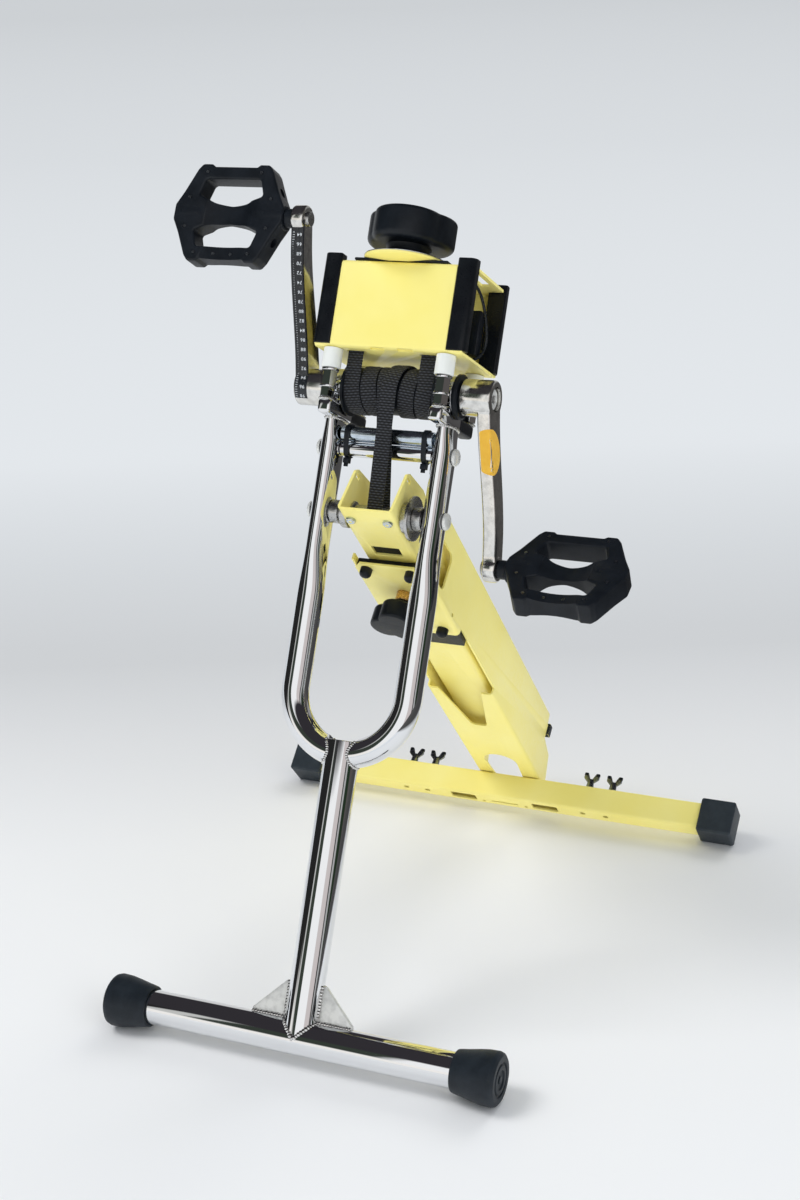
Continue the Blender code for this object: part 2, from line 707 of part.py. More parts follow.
def make_saddles():
    rear = STUD_REAR + 4 * MM
    for side, sign in SIDES.items():
        low, high = LEG_X - SADDLE_HALF, HOUSING_OUT
        bar = box_mesh((low, STUD_FRONT - 6 * MM, SADDLE_Z), (high, rear, SADDLE_Z + SADDLE_HIGH))
        made = place(f"bearing_saddle_{side}", on_side(bar, sign), "chrome", fork)
        bevel(made, 3 * MM)
        ring = rod_mesh("X", HOUSING_R, HOUSING_IN, HOUSING_OUT, (0, 0, CRANK_Z), sides=20)
        join(made, tool(on_side(ring, sign), fork))
        bore = rod_mesh("X", BEARING_R + GAP, HOUSING_IN - 5 * MM, HOUSING_OUT + 5 * MM, (0, 0, CRANK_Z),
                        sides=18)
        cut(made, tool(on_side(bore, sign), fork))
        for end, y in (("front", STUD_FRONT), ("rear", STUD_REAR)):
            for piece in stud_stack(y):
                join(made, tool(on_side(piece, sign), fork))
            at = (LEG_X, y, 0)
            bore = STUD_R + GAP
            profile = [(BUSHING_R, HEAD_LOW - GAP), (BUSHING_R, BUSHING_LOW + 1 * MM),
                       (BUSHING_R - 0.8 * MM, BUSHING_LOW), (bore, BUSHING_LOW), (bore, HEAD_LOW - GAP)]
            bushing = turned_mesh("Z", profile, at, sides=16)
            place(f"head_bushing_{end}_{side}", on_side(bushing, sign), "nylon", fork, smooth=40)


def stud_stack(y):
    """A stud with its weld and two washers, and the nuts between them, all tight on one another."""
    at = (LEG_X, y, 0)
    low = SADDLE_Z + SADDLE_HIGH
    top = BUSHING_LOW - GAP
    first = low + 2 * MM
    second = first + NUT_HIGH + WASHER
    foot = low - 1.5 * MM
    profile = [(STUD_R, STUD_TOP)]
    for seat in (top, second):
        under = seat - WASHER
        profile += [(STUD_R, seat), (WASHER_R_STUD, seat), (WASHER_R_STUD, under), (STUD_R, under)]
    profile += [(STUD_R, first), (STUD_R + 3 * MM, foot), (0, foot), (0, STUD_TOP)]
    lap = 0.4 * MM
    return (turned_mesh("Z", profile, at, sides=12),
            rod_mesh("Z", NUT_R, first, first + NUT_HIGH + lap, at, sides=6),
            rod_mesh("Z", NUT_R, second - lap, top - WASHER + lap, at, sides=6))


def make_crank_bearings():
    bearing = ring_mesh("X", BEARING_R, SPINDLE_R + GAP, HOUSING_IN + 1 * MM, HOUSING_OUT - 1 * MM,
                        (0, 0, CRANK_Z), sides=18)
    low = HOUSING_OUT + GAP
    profile = [(COVER_R - 1.5 * MM, COVER_OUT), (COVER_R, COVER_OUT - 1.5 * MM), (COVER_R, low),
               (SPINDLE_R + 2 * MM, low), (SPINDLE_R + 2 * MM, COVER_OUT)]
    cover = turned_mesh("X", profile, (0, 0, CRANK_Z), sides=20)
    for side, sign in SIDES.items():
        place(f"crank_bearing_{side}", on_side(bearing, sign), "steel", fork, smooth=40)
        place(f"dust_cover_{side}", on_side(cover, sign), "rubber", fork, smooth=40)


# Webbing brake band: both ends come down from the head, wind inwards on the drum and run down
# together to a loop round the pivot axle.

def band_wrap(side, lift, steps=20):
    """Down from the head and two turns round the drum, towards the middle."""
    radius = DRUM_R + BAND_CLEAR + BAND_THICK / 2
    start = BAND_START * BAND_PITCH
    end = TENSION_Z - BAND_END_CLEAR
    drop = end - CRANK_Z
    path = [Vector((side * start, -radius, end - drop * share)) for share in (0, 0.375, 0.6875)]
    for i in range(steps * BAND_TURNS + 1):
        share = i / (steps * BAND_TURNS)
        angle = math.pi + 2 * math.pi * BAND_TURNS * share
        raised = radius + lift * smoothstep((share - 0.70) / 0.15)
        path.append(Vector((side * (start - BAND_PITCH * BAND_TURNS * share), raised * math.cos(angle),
                            CRANK_Z + raised * math.sin(angle))))
    return path


def tangent(first, second, first_side, second_side):
    """Where a taut band leaves one round and meets the next. Each round is (centre, radius), seen from the
    side, and each side is 1 where the band runs along its front and -1 along its rear."""
    between = second[0] - first[0]
    reach = math.asin((first[1] * first_side - second[1] * second_side) / between.length)
    heading = math.atan2(between.y, between.x) - math.pi / 2 + reach
    out = Vector((math.cos(heading), math.sin(heading)))
    return first[0] + out * first[1] * first_side, second[0] + out * second[1] * second_side


def band_run(lift, behind):
    """From the drum down to the pivot axle, as (y, height) pairs. The layer that goes behind the axle bends
    over the spacer, and the other one runs straight, in front of it."""
    thick = BAND_CLEAR + BAND_THICK / 2
    rounds = [(Vector((0, CRANK_Z)), DRUM_R + thick + lift, 1)]
    if behind:
        rounds.append((Vector((0, SPACER_Z)), SPACER_R + thick, 1))
    rounds.append((Vector((0, PIVOT_Z)), AXLE_R + thick, -1 if behind else 1))
    points = []
    for (centre, radius, side), (next_centre, next_radius, next_side) in zip(rounds, rounds[1:]):
        points += tangent((centre, radius), (next_centre, next_radius), side, next_side)
    return points


def make_band():
    radius = AXLE_R + BAND_CLEAR + BAND_THICK / 2
    runs = []
    for side, lift in ((-1, 0.0), (1, BAND_LIFT)):
        last = (BAND_START - BAND_TURNS) * BAND_PITCH
        run = band_run(lift, behind=side < 0)
        points = [Vector((side * last * max(0, (height - SPACER_Z) / (CRANK_Z - SPACER_Z)), y, height))
                  for y, height in run]
        runs.append(band_wrap(side, lift) + points)
    ends = [math.atan2(run[-1].z - PIVOT_Z, run[-1].y) for run in runs]
    sweep = (ends[0] - ends[1]) % (2 * math.pi)
    count = 12
    loop = [Vector((0, radius * math.cos(angle), PIVOT_Z + radius * math.sin(angle)))
            for angle in (ends[0] - sweep * i / count for i in range(1, count))]
    path = runs[0] + loop + list(reversed(runs[1]))
    across = [Vector((1, 0, 0))] * len(path)
    place("brake_band", band_mesh(path, across, BAND_WIDTH, BAND_THICK), "webbing", fork)
    print(f"brake_band: least gap to itself {least_gap(path) / MM:.2f} mm")


def least_gap(path):
    """The least gap of the band to itself, measured between points along its middle line."""
    points = []
    run = 0.0
    for before, after in zip(path, path[1:]):
        ahead = (after - before).normalized()
        out = ahead.cross(Vector((1, 0, 0))).normalized()
        pieces = max(1, round((after - before).length / (2 * MM)))
        for i in range(pieces):
            share = i / pieces
            points.append((run + (after - before).length * share, before.lerp(after, share), ahead, out))
        run += (after - before).length
    least = 1.0
    for i, (along, point, ahead, out) in enumerate(points):
        for other_along, other, _, _ in points[i + 1:]:
            offset = other - point
            if other_along - along < 1.4 * BAND_WIDTH or abs(offset.dot(ahead)) > 1.5 * MM:
                continue
            across = abs(offset.x) - BAND_WIDTH
            through = abs(offset.dot(out)) - BAND_THICK
            least = min(least, through if across < 0 else math.hypot(across, max(through, 0)))
    return least


# Head

def head_slots():
    """Slots in the bottom plate for the band's ends, clear of the webbing all round."""
    radius = DRUM_R + BAND_CLEAR + BAND_THICK / 2
    middle = BAND_START * BAND_PITCH
    half = BAND_WIDTH / 2 + BAND_SLOT_CLEAR
    deep = BAND_THICK / 2 + BAND_SLOT_CLEAR
    low = (middle - half, -radius - deep, HEAD_LOW - 5 * MM)
    high = (middle + half, -radius + deep, HEAD_LOW + SHEET + 5 * MM)
    return both_sides(box_mesh(low, high))


def make_head():
    # A sleeve of sheet, open at both sides, with the plates wider than the front and rear panels
    outer = rounded([(HEAD_FRONT, HEAD_LOW), (HEAD_REAR, HEAD_LOW), (HEAD_REAR, HEAD_TOP),
                     (HEAD_FRONT, HEAD_TOP)], HEAD_CORNER)
    inner = rounded([(HEAD_FRONT + SHEET, HEAD_LOW + SHEET), (HEAD_REAR - SHEET, HEAD_LOW + SHEET),
                     (HEAD_REAR - SHEET, HEAD_TOP - SHEET), (HEAD_FRONT + SHEET, HEAD_TOP - SHEET)],
                    HEAD_CORNER - SHEET)
    shell = place("head_shell", plate_mesh("YZ", [outer, inner], -PLATE_HALF, PLATE_HALF), "yellow", fork)
    reach = STRIP_DEEP + 2 * GAP
    edge = PANEL_HALF + 0.1 * MM
    side = PLATE_HALF + 18.5 * MM
    notches = []
    for low, high in ((HEAD_FRONT - 5 * MM, HEAD_FRONT + reach), (HEAD_REAR - reach, HEAD_REAR + 5 * MM)):
        notches.append(both_sides(box_mesh((edge, low, STRIP_LOW - GAP), (side, high, HEAD_TOP + 9 * MM))))
    cut(shell, tool(merged(*notches), fork), tool(head_slots(), fork))
    bend = [box_mesh((low, HEAD_FRONT - 5 * MM, HEAD_LOW - 5 * MM),
                     (high, HEAD_FRONT + BEND_SLOT_DEEP, HEAD_LOW + BEND_SLOT_HIGH))
            for low, high in BEND_SLOTS]
    cut(shell, tool(merged(*bend), fork))
    holes = [rod_mesh("Z", STUD_R + GAP, HEAD_LOW - 5 * MM, HEAD_LOW + 9 * MM, (sign * LEG_X, y, 0), sides=12)
             for sign in (-1, 1) for y in (STUD_FRONT, STUD_REAR)]
    holes.append(rod_mesh("Z", ROD_R + GAP, HEAD_TOP - 9 * MM, HEAD_TOP + 5 * MM, (KNOB_X, KNOB_Y, 0),
                          sides=16))
    cut(shell, tool(merged(*holes), fork))
    strips = []
    for low, high in ((HEAD_FRONT - STRIP_PROUD, HEAD_FRONT + STRIP_DEEP - STRIP_PROUD),
                      (HEAD_REAR + STRIP_PROUD - STRIP_DEEP, HEAD_REAR + STRIP_PROUD)):
        strips.append((low, high))
    for end, (low, high) in zip(("front", "rear"), strips):
        strip = box_mesh((edge + GAP, low, STRIP_LOW), (edge + GAP + STRIP, high, STRIP_TOP))
        y = STUD_FRONT if end == "front" else STUD_REAR
        socket = rod_mesh("Z", STUD_R + GAP, STRIP_LOW - 5 * MM, STUD_TOP + GAP, (LEG_X, y, 0), sides=12)
        for side, sign in SIDES.items():
            made = bevel(place(f"corner_strip_{end}_{side}", on_side(strip, sign), "rubber", fork), 2 * MM)
            cut(made, tool(on_side(socket, sign), fork))


def make_tension():
    bore = ROD_R + GAP
    top = DISC_LOW + DISC_THICK
    profile = [(DISC_R, top), (DISC_R, DISC_LOW), (COLLAR_R, DISC_LOW), (COLLAR_R, HEAD_TOP + GAP),
               (bore, HEAD_TOP + GAP), (bore, top)]
    place("tension_disc", turned_mesh("Z", profile, (KNOB_X, KNOB_Y, 0), sides=32), "yellow", fork, smooth=40)
    bar = box_mesh((-TENSION_HALF, KNOB_Y - TENSION_DEEP / 2, TENSION_Z),
                   (TENSION_HALF, KNOB_Y + TENSION_DEEP / 2, TENSION_Z + TENSION_HIGH))
    made = place("tension_bar", bar, "steel", fork)
    bevel(made, TENSION_EDGE)
    past = 5 * MM
    cut(made, tool(rod_mesh("Z", bore, TENSION_Z - past, TENSION_Z + TENSION_HIGH + past, (KNOB_X, KNOB_Y, 0),
                            sides=12), fork))
    knob = knob_mesh(lobed(KNOB_R, KNOB_LOBE, KNOB_TURN), KNOB_LOW, KNOB_LOW + KNOB_HIGH, KNOB_EDGE)
    made = place("tension_knob", knob, "resin", fork, (KNOB_X, KNOB_Y, 0), smooth=50)
    inside = KNOB_LOW + KNOB_EDGE
    join(made, tool(rod_mesh("Z", COLLAR_R, top + GAP, inside, sides=32), fork, (KNOB_X, KNOB_Y, 0)))
    join(made, tool(rod_mesh("Z", ROD_R, TENSION_Z - ROD_R, inside, sides=12), fork, (KNOB_X, KNOB_Y, 0)))


# Crank: drawn with both arms in line, the left one up

def make_crank():
    end = BOSS_OUT - 7 * MM
    spindle = place("crank_spindle", rod_mesh("X", SPINDLE_R, -end, end, sides=24), "steel", crank, smooth=40)
    nut = rod_mesh("X", SPINDLE_R - 1 * MM, end - 2 * MM, end + 4 * MM, sides=6)
    join(spindle, tool(both_sides(nut), crank))
    inner = SPINDLE_R + GAP
    profile = [(FLANGE_R, DRUM_HALF + FLANGE_THICK), (FLANGE_R, DRUM_HALF), (DRUM_R, DRUM_HALF),
               (DRUM_R, -DRUM_HALF), (FLANGE_R, -DRUM_HALF), (FLANGE_R, -DRUM_HALF - FLANGE_THICK),
               (inner, -DRUM_HALF - FLANGE_THICK), (inner, DRUM_HALF + FLANGE_THICK)]
    place("brake_drum", turned_mesh("X", profile, sides=24), "resin", crank, smooth=40)
    for side, sign in SIDES.items():
        make_crank_arm(side, sign)


def arm_mesh():
    """A right arm that points down: a slab that tapers towards its eye and leans outwards."""
    shape = bmesh.new()
    rows = []
    for share in (0, 0.25, 0.5, 0.75, 1.0):
        half = ARM_ROOT_HALF + (ARM_END_HALF - ARM_ROOT_HALF) * share
        outer = BOSS_OUT + (ARM_OUT - BOSS_OUT) * smoothstep(share * 1.15)
        rows.append((-CRANK_LENGTH * share, half - GAP, outer - GAP))
    loops = []
    for height, half, outer in rows:
        loops.append([shape.verts.new((x, y, height)) for x, y in
                      ((outer - ARM_THICK, -half), (outer, -half), (outer, half), (outer - ARM_THICK, half))])
    for lower, upper in zip(loops, loops[1:]):
        for i in range(4):
            j = (i + 1) % 4
            shape.faces.new((lower[i], lower[j], upper[j], upper[i]))
    shape.faces.new(list(reversed(loops[0])))
    shape.faces.new(loops[-1])
    bmesh.ops.recalc_face_normals(shape, faces=shape.faces)
    return to_mesh(shape, "arm")


def make_crank_arm(side, sign):
    turn = (0, 0, 0) if sign > 0 else (math.pi, 0, 0)
    mesh = on_side(arm_mesh(), sign)
    arm = place(f"crank_arm_{side}", mesh, "forged", crank, turn=turn)
    bevel(arm, ARM_EDGE, 2, angle=50)
    for radius, low, high, height in ((BOSS_R, BOSS_IN, BOSS_OUT, 0),
                                      (EYE_R, ARM_OUT - ARM_THICK, ARM_OUT, sign * -CRANK_LENGTH)):
        profile = [(radius - ARM_EDGE, high), (radius, high - ARM_EDGE), (radius, low + ARM_EDGE),
                   (radius - ARM_EDGE, low), (0, low), (0, high)]
        join(arm, tool(on_side(turned_mesh("X", profile, (0, 0, height), sides=18), sign), crank))
    recess = rod_mesh("X", RECESS_R, BOSS_OUT - RECESS_DEEP, BOSS_OUT + 9 * MM, sides=18)
    bore = rod_mesh("X", SPINDLE_R + GAP, BOSS_IN - 9 * MM, BOSS_OUT, sides=14)
    eye = rod_mesh("X", PEDAL_PIN_R + GAP, ARM_OUT - 20 * MM, ARM_OUT + 9 * MM, (0, 0, sign * -CRANK_LENGTH),
                   sides=12)
    for hole in (recess, bore, eye):
        cut(arm, tool(on_side(hole, sign), crank))
    make_pedal(side, sign)


# Pedals

def half_turned(points):
    """Adds the same points turned half a turn about the middle."""
    return points + [(-x, -y) for x, y in points]


def pedal_outline():
    half = (PEDAL_OUT - PEDAL_IN) / 2
    bump = PEDAL_HALF + 1.5 * MM
    return half_turned([(half, -7 * MM), (half, 7 * MM), (half - 7 * MM, 19.5 * MM),
                        (PEDAL_EDGE + 3 * MM, PEDAL_HALF - 4 * MM), (PEDAL_EDGE - 1.5 * MM, bump),
                        (PEDAL_EDGE - 11 * MM, bump), (PEDAL_EDGE - 14 * MM, PEDAL_HALF - 1 * MM),
                        (-PEDAL_EDGE + 14 * MM, PEDAL_HALF - 1 * MM), (-PEDAL_EDGE + 11 * MM, bump),
                        (-PEDAL_EDGE + 1.5 * MM, bump), (-PEDAL_EDGE - 3 * MM, PEDAL_HALF - 4 * MM),
                        (-half + 7 * MM, 19.5 * MM)])


def pedal_window():
    near = WINDOW_IN + 1 * MM
    inner = [(-31 * MM, WINDOW_CORNER), (-17 * MM, near), (0, WINDOW_IN), (17 * MM, near),
             (31 * MM, WINDOW_CORNER)]
    return inner + [(25 * MM, WINDOW_OUT), (-25 * MM, WINDOW_OUT)]


def make_pedal(side, sign):
    direction = Vector((0, -math.sin(CRANK_ANGLE - LEAN), math.cos(CRANK_ANGLE - LEAN)))
    at = crank_at - sign * CRANK_LENGTH * direction
    tilt = PEDAL_TILT_RIGHT if sign > 0 else PEDAL_TILT_LEFT
    hold = frame(f"pedal_frame_{side}", at, tilt)
    spindle = rod_mesh("X", PEDAL_PIN_R, ARM_OUT - PEDAL_PIN_IN, PEDAL_OUT - PEDAL_PIN_SHORT, sides=16)
    made = place(f"pedal_spindle_{side}", on_side(spindle, sign), "steel", hold, smooth=40)
    collar = rod_mesh("X", PEDAL_COLLAR_R, ARM_OUT + GAP, PEDAL_IN - GAP, sides=20)
    join(made, tool(on_side(collar, sign), hold))
    middle = (PEDAL_IN + PEDAL_OUT) / 2
    upper = pedal_window()
    lower = [(x, -y) for x, y in reversed(upper)]
    outlines = [[(x + middle, y) for x, y in outline] for outline in (pedal_outline(), upper, lower)]
    body = plate_mesh("XY", outlines, -PEDAL_THICK / 2, PEDAL_THICK / 2)
    pedal = place(f"pedal_{side}", on_side(body, sign), "resin", hold)
    bevel(pedal, 1.5 * MM)
    barrel = rod_mesh("X", BARREL_R, PEDAL_IN, PEDAL_OUT - 6 * MM, sides=24)
    join(pedal, tool(on_side(barrel, sign), hold))
    bore = rod_mesh("X", PEDAL_PIN_R + GAP, PEDAL_IN - 9 * MM, PEDAL_OUT - PEDAL_PIN_SHORT + 1 * MM, sides=16)
    cut(pedal, tool(on_side(bore, sign), hold))


# Rear leg

def channel_mesh(half, front, rear, wall, low, high, corner):
    """A U of bent sheet, open to the rear, from low to high along the leg."""
    outer = rounded([(-half, rear), (-half, front), (half, front), (half, rear)], [0, corner, corner, 0])
    half -= wall
    inner = rounded([(half, rear), (half, front + wall), (-half, front + wall), (-half, rear)],
                    [0, corner - wall, corner - wall, 0])
    return plate_mesh("XY", [outer + inner], low, high)


def make_upper_leg():
    upper = place("upper_leg", channel_mesh(UPPER_HALF, UPPER_FRONT, UPPER_REAR + 8 * MM, UPPER_WALL,
                                            -UPPER_LENGTH, EAR_TOP + 5 * MM, CHANNEL_BEND), "yellow", leg)
    past = 20 * MM
    side = UPPER_HALF + past
    foot = -UPPER_LENGTH - past
    top = [(UPPER_FRONT - past, EAR_TOP), (UPPER_FRONT, EAR_TOP), (UPPER_REAR - 4 * MM, EAR_APEX + 1 * MM),
           (UPPER_REAR, EAR_APEX - 4 * MM), (UPPER_REAR + 6 * MM, -20 * MM), (UPPER_REAR, -60 * MM),
           (UPPER_REAR, foot), (UPPER_REAR + past, foot), (UPPER_REAR + past, EAR_TOP + past),
           (UPPER_FRONT - past, EAR_TOP + past)]
    cut(upper, tool(plate_mesh("YZ", [top], -side, side), leg))
    cut(upper, tool(rod_mesh("X", AXLE_R + 3 * MM, -side, side, sides=24), leg))
    face_slot = box_mesh((-FACE_SLOT_HALF, UPPER_FRONT - 9 * MM, -FACE_SLOT_LOW),
                         (FACE_SLOT_HALF, UPPER_FRONT + 9 * MM, -FACE_SLOT_TOP))
    ear_slot = box_mesh((-side, 27.5 * MM, 11 * MM), (side, 31 * MM, 19 * MM))
    cut(upper, tool(face_slot, leg), tool(ear_slot, leg))
    screw = rod_mesh("Y", SLIDE_SCREW_R, UPPER_FRONT - SLIDE_SCREW_HIGH, UPPER_FRONT + 1 * MM,
                     (SLIDE_SCREW_X, 0, SLIDE_SCREW_Z), sides=16)
    join(upper, tool(both_sides(screw), leg))
    low = UPPER_HALF - UPPER_WALL - 1.5 * MM
    bearing_in = UPPER_HALF + GAP
    rim = DISC_OUT - DISC_THICK_PIVOT
    flanged = [(FLANGE_BEARING_R, DISC_OUT), (FLANGE_BEARING_R, rim), (NECK_R, rim), (NECK_R, bearing_in),
               (AXLE_R + 3 * MM - GAP, bearing_in),
               (AXLE_R + 3 * MM - GAP, low), (AXLE_R + GAP, low), (AXLE_R + GAP, DISC_OUT)]
    bearing = turned_mesh("X", flanged, sides=18)
    for side, sign in SIDES.items():
        place(f"pivot_bearing_{side}", on_side(bearing, sign), "steel", leg, smooth=40)


def flank_profile():
    """Everything that is cut from the lower leg's flanks, seen from the side."""
    slot = rounded([(SLOT_FRONT, 0), (SLOT_FRONT, -SLOT_LOW), (SLOT_REAR, -SLOT_LOW), (SLOT_REAR, 0)],
                   [0, 6 * MM, 6 * MM, 0])
    past = 30 * MM
    front, rear = LOWER_FRONT - past, LOWER_REAR + past
    tab = -FLANK_LOW - 10 * MM
    foot = [(rear, -FLANK_LOW), (LOWER_REAR, -FLANK_LOW), (33 * MM, -FLANK_LOW - 3 * MM), (32 * MM, tab),
            (25 * MM, tab), (24 * MM, -FLANK_LOW - 4 * MM), (17 * MM, -FLANK_LOW - 5 * MM),
            (9 * MM, -WEB_LOW + 10.6 * MM), (-15 * MM, -WEB_LOW), (front, -WEB_LOW),
            (front, -WEB_LOW - 2 * past), (rear, -WEB_LOW - 2 * past)]
    return slot, foot


def make_lower_leg():
    low = -WEB_LOW - 24 * MM
    lower = place("lower_leg", channel_mesh(LOWER_HALF, LOWER_FRONT, LOWER_REAR, LOWER_WALL, low, -LOWER_TOP,
                                            CHANNEL_BEND), "yellow", leg)
    side = LOWER_HALF + 24 * MM
    for profile in flank_profile():
        cut(lower, tool(plate_mesh("YZ", [profile], -side, side), leg))
    window = box_mesh((-side, LOWER_FRONT - 9 * MM, -WINDOW_LOW), (side, WINDOW_FRONT, -WINDOW_TOP))
    notch = plate_mesh("XZ", [rounded([(-NOTCH_HALF, -WINDOW_LOW + 5 * MM), (-NOTCH_HALF, -WINDOW_LOW),
                                       (-NOTCH_TIP_HALF, -NOTCH_LOW), (NOTCH_TIP_HALF, -NOTCH_LOW),
                                       (NOTCH_HALF, -WINDOW_LOW), (NOTCH_HALF, -WINDOW_LOW + 5 * MM)],
                                      [0, 0, 6 * MM, 6 * MM, 0, 0])], LOWER_FRONT - 9 * MM, WINDOW_FRONT)
    centre = -ARCH_TOP - ARCH_HALF
    opening = arc((0, centre), ARCH_HALF, 180, 0, 12) + [(ARCH_FOOT_HALF, low), (-ARCH_FOOT_HALF, low)]
    arch = plate_mesh("XZ", [opening], LOWER_FRONT - 9 * MM, WINDOW_FRONT)
    past = 2 * MM
    chamfer = [(LOWER_HALF - 9 * MM, -LOWER_TOP + past), (LOWER_HALF - 9 * MM, -LOWER_TOP),
               (LOWER_HALF, -LOWER_TOP - 12 * MM), (LOWER_HALF + past, -LOWER_TOP - 12 * MM),
               (LOWER_HALF + past, -LOWER_TOP + past)]
    corner = plate_mesh("XZ", [chamfer], LOWER_FRONT - 9 * MM, LOWER_FRONT + CHANNEL_BEND)
    cut(lower, tool(window, leg), tool(notch, leg), tool(arch, leg), tool(both_sides(corner), leg))
    holes = [rod_mesh("X", FLANK_HOLE_R, -side, side, (0, FLANK_HOLE_Y, -FLANK_HOLE_Z), sides=12),
             rod_mesh("Y", BUSH_HOLE_R, LOWER_FRONT - 9 * MM, WINDOW_FRONT, (CLAMP_X, 0, -CLAMP_Z), sides=20)]
    cut(lower, tool(merged(*holes), leg))
    buttons = [rod_mesh("Y", BUTTON_R, LOWER_FRONT - 3.4 * MM, LOWER_FRONT + 1 * MM, (x, 0, -z), sides=18)
               for x in (-BUTTON_X, BUTTON_X) for z in BUTTON_Z]
    pad = box_mesh((LOWER_HALF - 4.5 * MM, 22 * MM, -FLANK_LOW - 13 * MM),
                   (LOWER_HALF + 2.5 * MM, 35 * MM, -FLANK_LOW - 4.6 * MM))
    join(lower, tool(merged(*buttons, both_sides(pad)), leg))
    make_liner()


def make_liner():
    inner = UPPER_HALF + GAP
    outer = LOWER_HALF - LOWER_WALL - GAP
    front = LOWER_FRONT + LOWER_WALL + GAP
    outline = rounded([(-outer, LINER_REAR), (-outer, front), (outer, front), (outer, LINER_REAR)],
                      [0, CHANNEL_BEND - LOWER_WALL + GAP, CHANNEL_BEND - LOWER_WALL + GAP, 0])
    outline += [(inner, LINER_REAR), (inner, UPPER_FRONT - GAP), (-inner, UPPER_FRONT - GAP),
                (-inner, LINER_REAR)]
    liner = place("leg_liner", plate_mesh("XY", [outline], -LINER_LOW, -LINER_TOP), "resin", leg)
    stem = rod_mesh("Y", CLAMP_STEM_R + 4 * GAP, front - 9 * MM, UPPER_FRONT + 5 * MM, (CLAMP_X, 0, -CLAMP_Z),
                    sides=20)
    side = LOWER_HALF + 24 * MM
    clear = box_mesh((-side, SLOT_FRONT, -SLOT_LOW), (side, LINER_REAR + 9 * MM, 0))
    cut(liner, tool(stem, leg), tool(clear, leg))


def make_clamp():
    bush = ring_mesh("Y", BUSH_R, CLAMP_STEM_R + GAP, LOWER_FRONT - 9 * MM, LOWER_FRONT + LOWER_WALL,
                     (CLAMP_X, 0, -CLAMP_Z), sides=20)
    place("clamp_bush", bush, "brass", leg, smooth=40)
    body = knob_mesh(lobed(CLAMP_R, CLAMP_LOBE, CLAMP_TURN), 0, CLAMP_HIGH, CLAMP_EDGE, floor=0.9)
    made = place("clamp_knob", body, "resin", leg, (CLAMP_X, CLAMP_NEAR, -CLAMP_Z), (math.radians(90), 0, 0),
                 smooth=50)
    stem = rod_mesh("Y", CLAMP_STEM_R, CLAMP_NEAR - 6 * MM, UPPER_FRONT - CLAMP_CLEAR, (CLAMP_X, 0, -CLAMP_Z),
                    sides=20)
    join(made, tool(stem, leg))


def bar_box(grow=0.0, half=BAR_HALF):
    """The base bar's section, in front of the web."""
    return ((-half, LOWER_FRONT - BAR_DEEP - grow - GAP, -BAR_TOP - BAR_HIGH - grow),
            (half, LOWER_FRONT - GAP + grow, -BAR_TOP + grow))


def make_base_bar():
    bar = place("base_bar", box_mesh(*bar_box()), "yellow", leg)
    bevel(bar, 2.5 * MM)
    cut(bar, tool(box_mesh(*bar_box(-BAR_WALL, BAR_HALF + 9 * MM)), leg))
    front = LOWER_FRONT - BAR_DEEP
    middle = -BAR_TOP - BAR_HIGH / 2
    near, far = front - 9 * MM, front + 9 * MM
    slot = rounded([(33 * MM, middle - 6 * MM), (63 * MM, middle - 6 * MM), (63 * MM, middle + 7 * MM),
                    (33 * MM, middle + 7 * MM)], 2 * MM, 2)
    cut(bar, tool(both_sides(plate_mesh("XZ", [slot], near, far)), leg))
    thin = box_mesh((-15.5 * MM, near, middle - 4 * MM), (15.5 * MM, far, middle - 1.5 * MM))
    small = [rod_mesh("Y", 2.0 * MM, near, far, (x, 0, middle - 5 * MM), sides=10)
             for x in (-25 * MM, 25 * MM)]
    places = [sign * x for x in SCREW_X for sign in (-1, 1)]
    ends = [rod_mesh("Y", 3.2 * MM, near, far, (x, 0, middle + 1 * MM), sides=12) for x in places]
    threads = [rod_mesh("Y", WING_STEM_R + GAP, LOWER_FRONT - 9 * MM, LOWER_FRONT + 9 * MM, (x, 0, middle),
                        sides=8) for x in places]
    cut(bar, tool(merged(thin, *small, *ends, *threads), leg))
    low, high = bar_box(CAP_WALL)
    cap = box_mesh((CAP_FROM, low[1], low[2]), (CAP_FROM + CAP_LENGTH, high[1], high[2]))
    for side, sign in SIDES.items():
        made = place(f"base_cap_{side}", on_side(cap, sign), "rubber", leg)
        bevel(made, CAP_EDGE, 2)
        cut(made, tool(box_mesh(*bar_box(GAP, BAR_HALF + GAP)), leg))
    make_wing_screws(middle)


def make_wing_screws(middle):
    """Four wing screws in the bar's rear face, each about its own axis."""
    index = 1
    for x in (-SCREW_X[1], -SCREW_X[0], SCREW_X[0], SCREW_X[1]):
        at = (x, LOWER_FRONT, middle)
        hub = rod_mesh("Y", WING_R, 0.3 * MM, 12 * MM, sides=12, end_radius=3.4 * MM)
        made = place(f"wing_screw_{index}", hub, "zinc", leg, at)
        wing = rounded([(2 * MM, 7 * MM), (8.5 * MM, 13 * MM), (8.5 * MM, 19.5 * MM), (4.5 * MM, 19.5 * MM),
                        (0.5 * MM, 11 * MM)], [0, 1.5 * MM, 2 * MM, 1 * MM, 0], 2)
        wings = both_sides(plate_mesh("XY", [wing], -1.3 * MM, 1.3 * MM))
        stem = rod_mesh("Y", WING_STEM_R, -12 * MM, 5 * MM, sides=8)
        join(made, tool(stem, leg, at), tool(wings, leg, at))
        index += 1


make_foot_bar()
make_post()
make_fork_legs()
make_cross_tubes()
make_bolts()
make_saddles()
make_crank_bearings()
make_band()
make_head()
make_tension()
make_crank()
make_upper_leg()
make_lower_leg()
make_clamp()
make_base_bar()
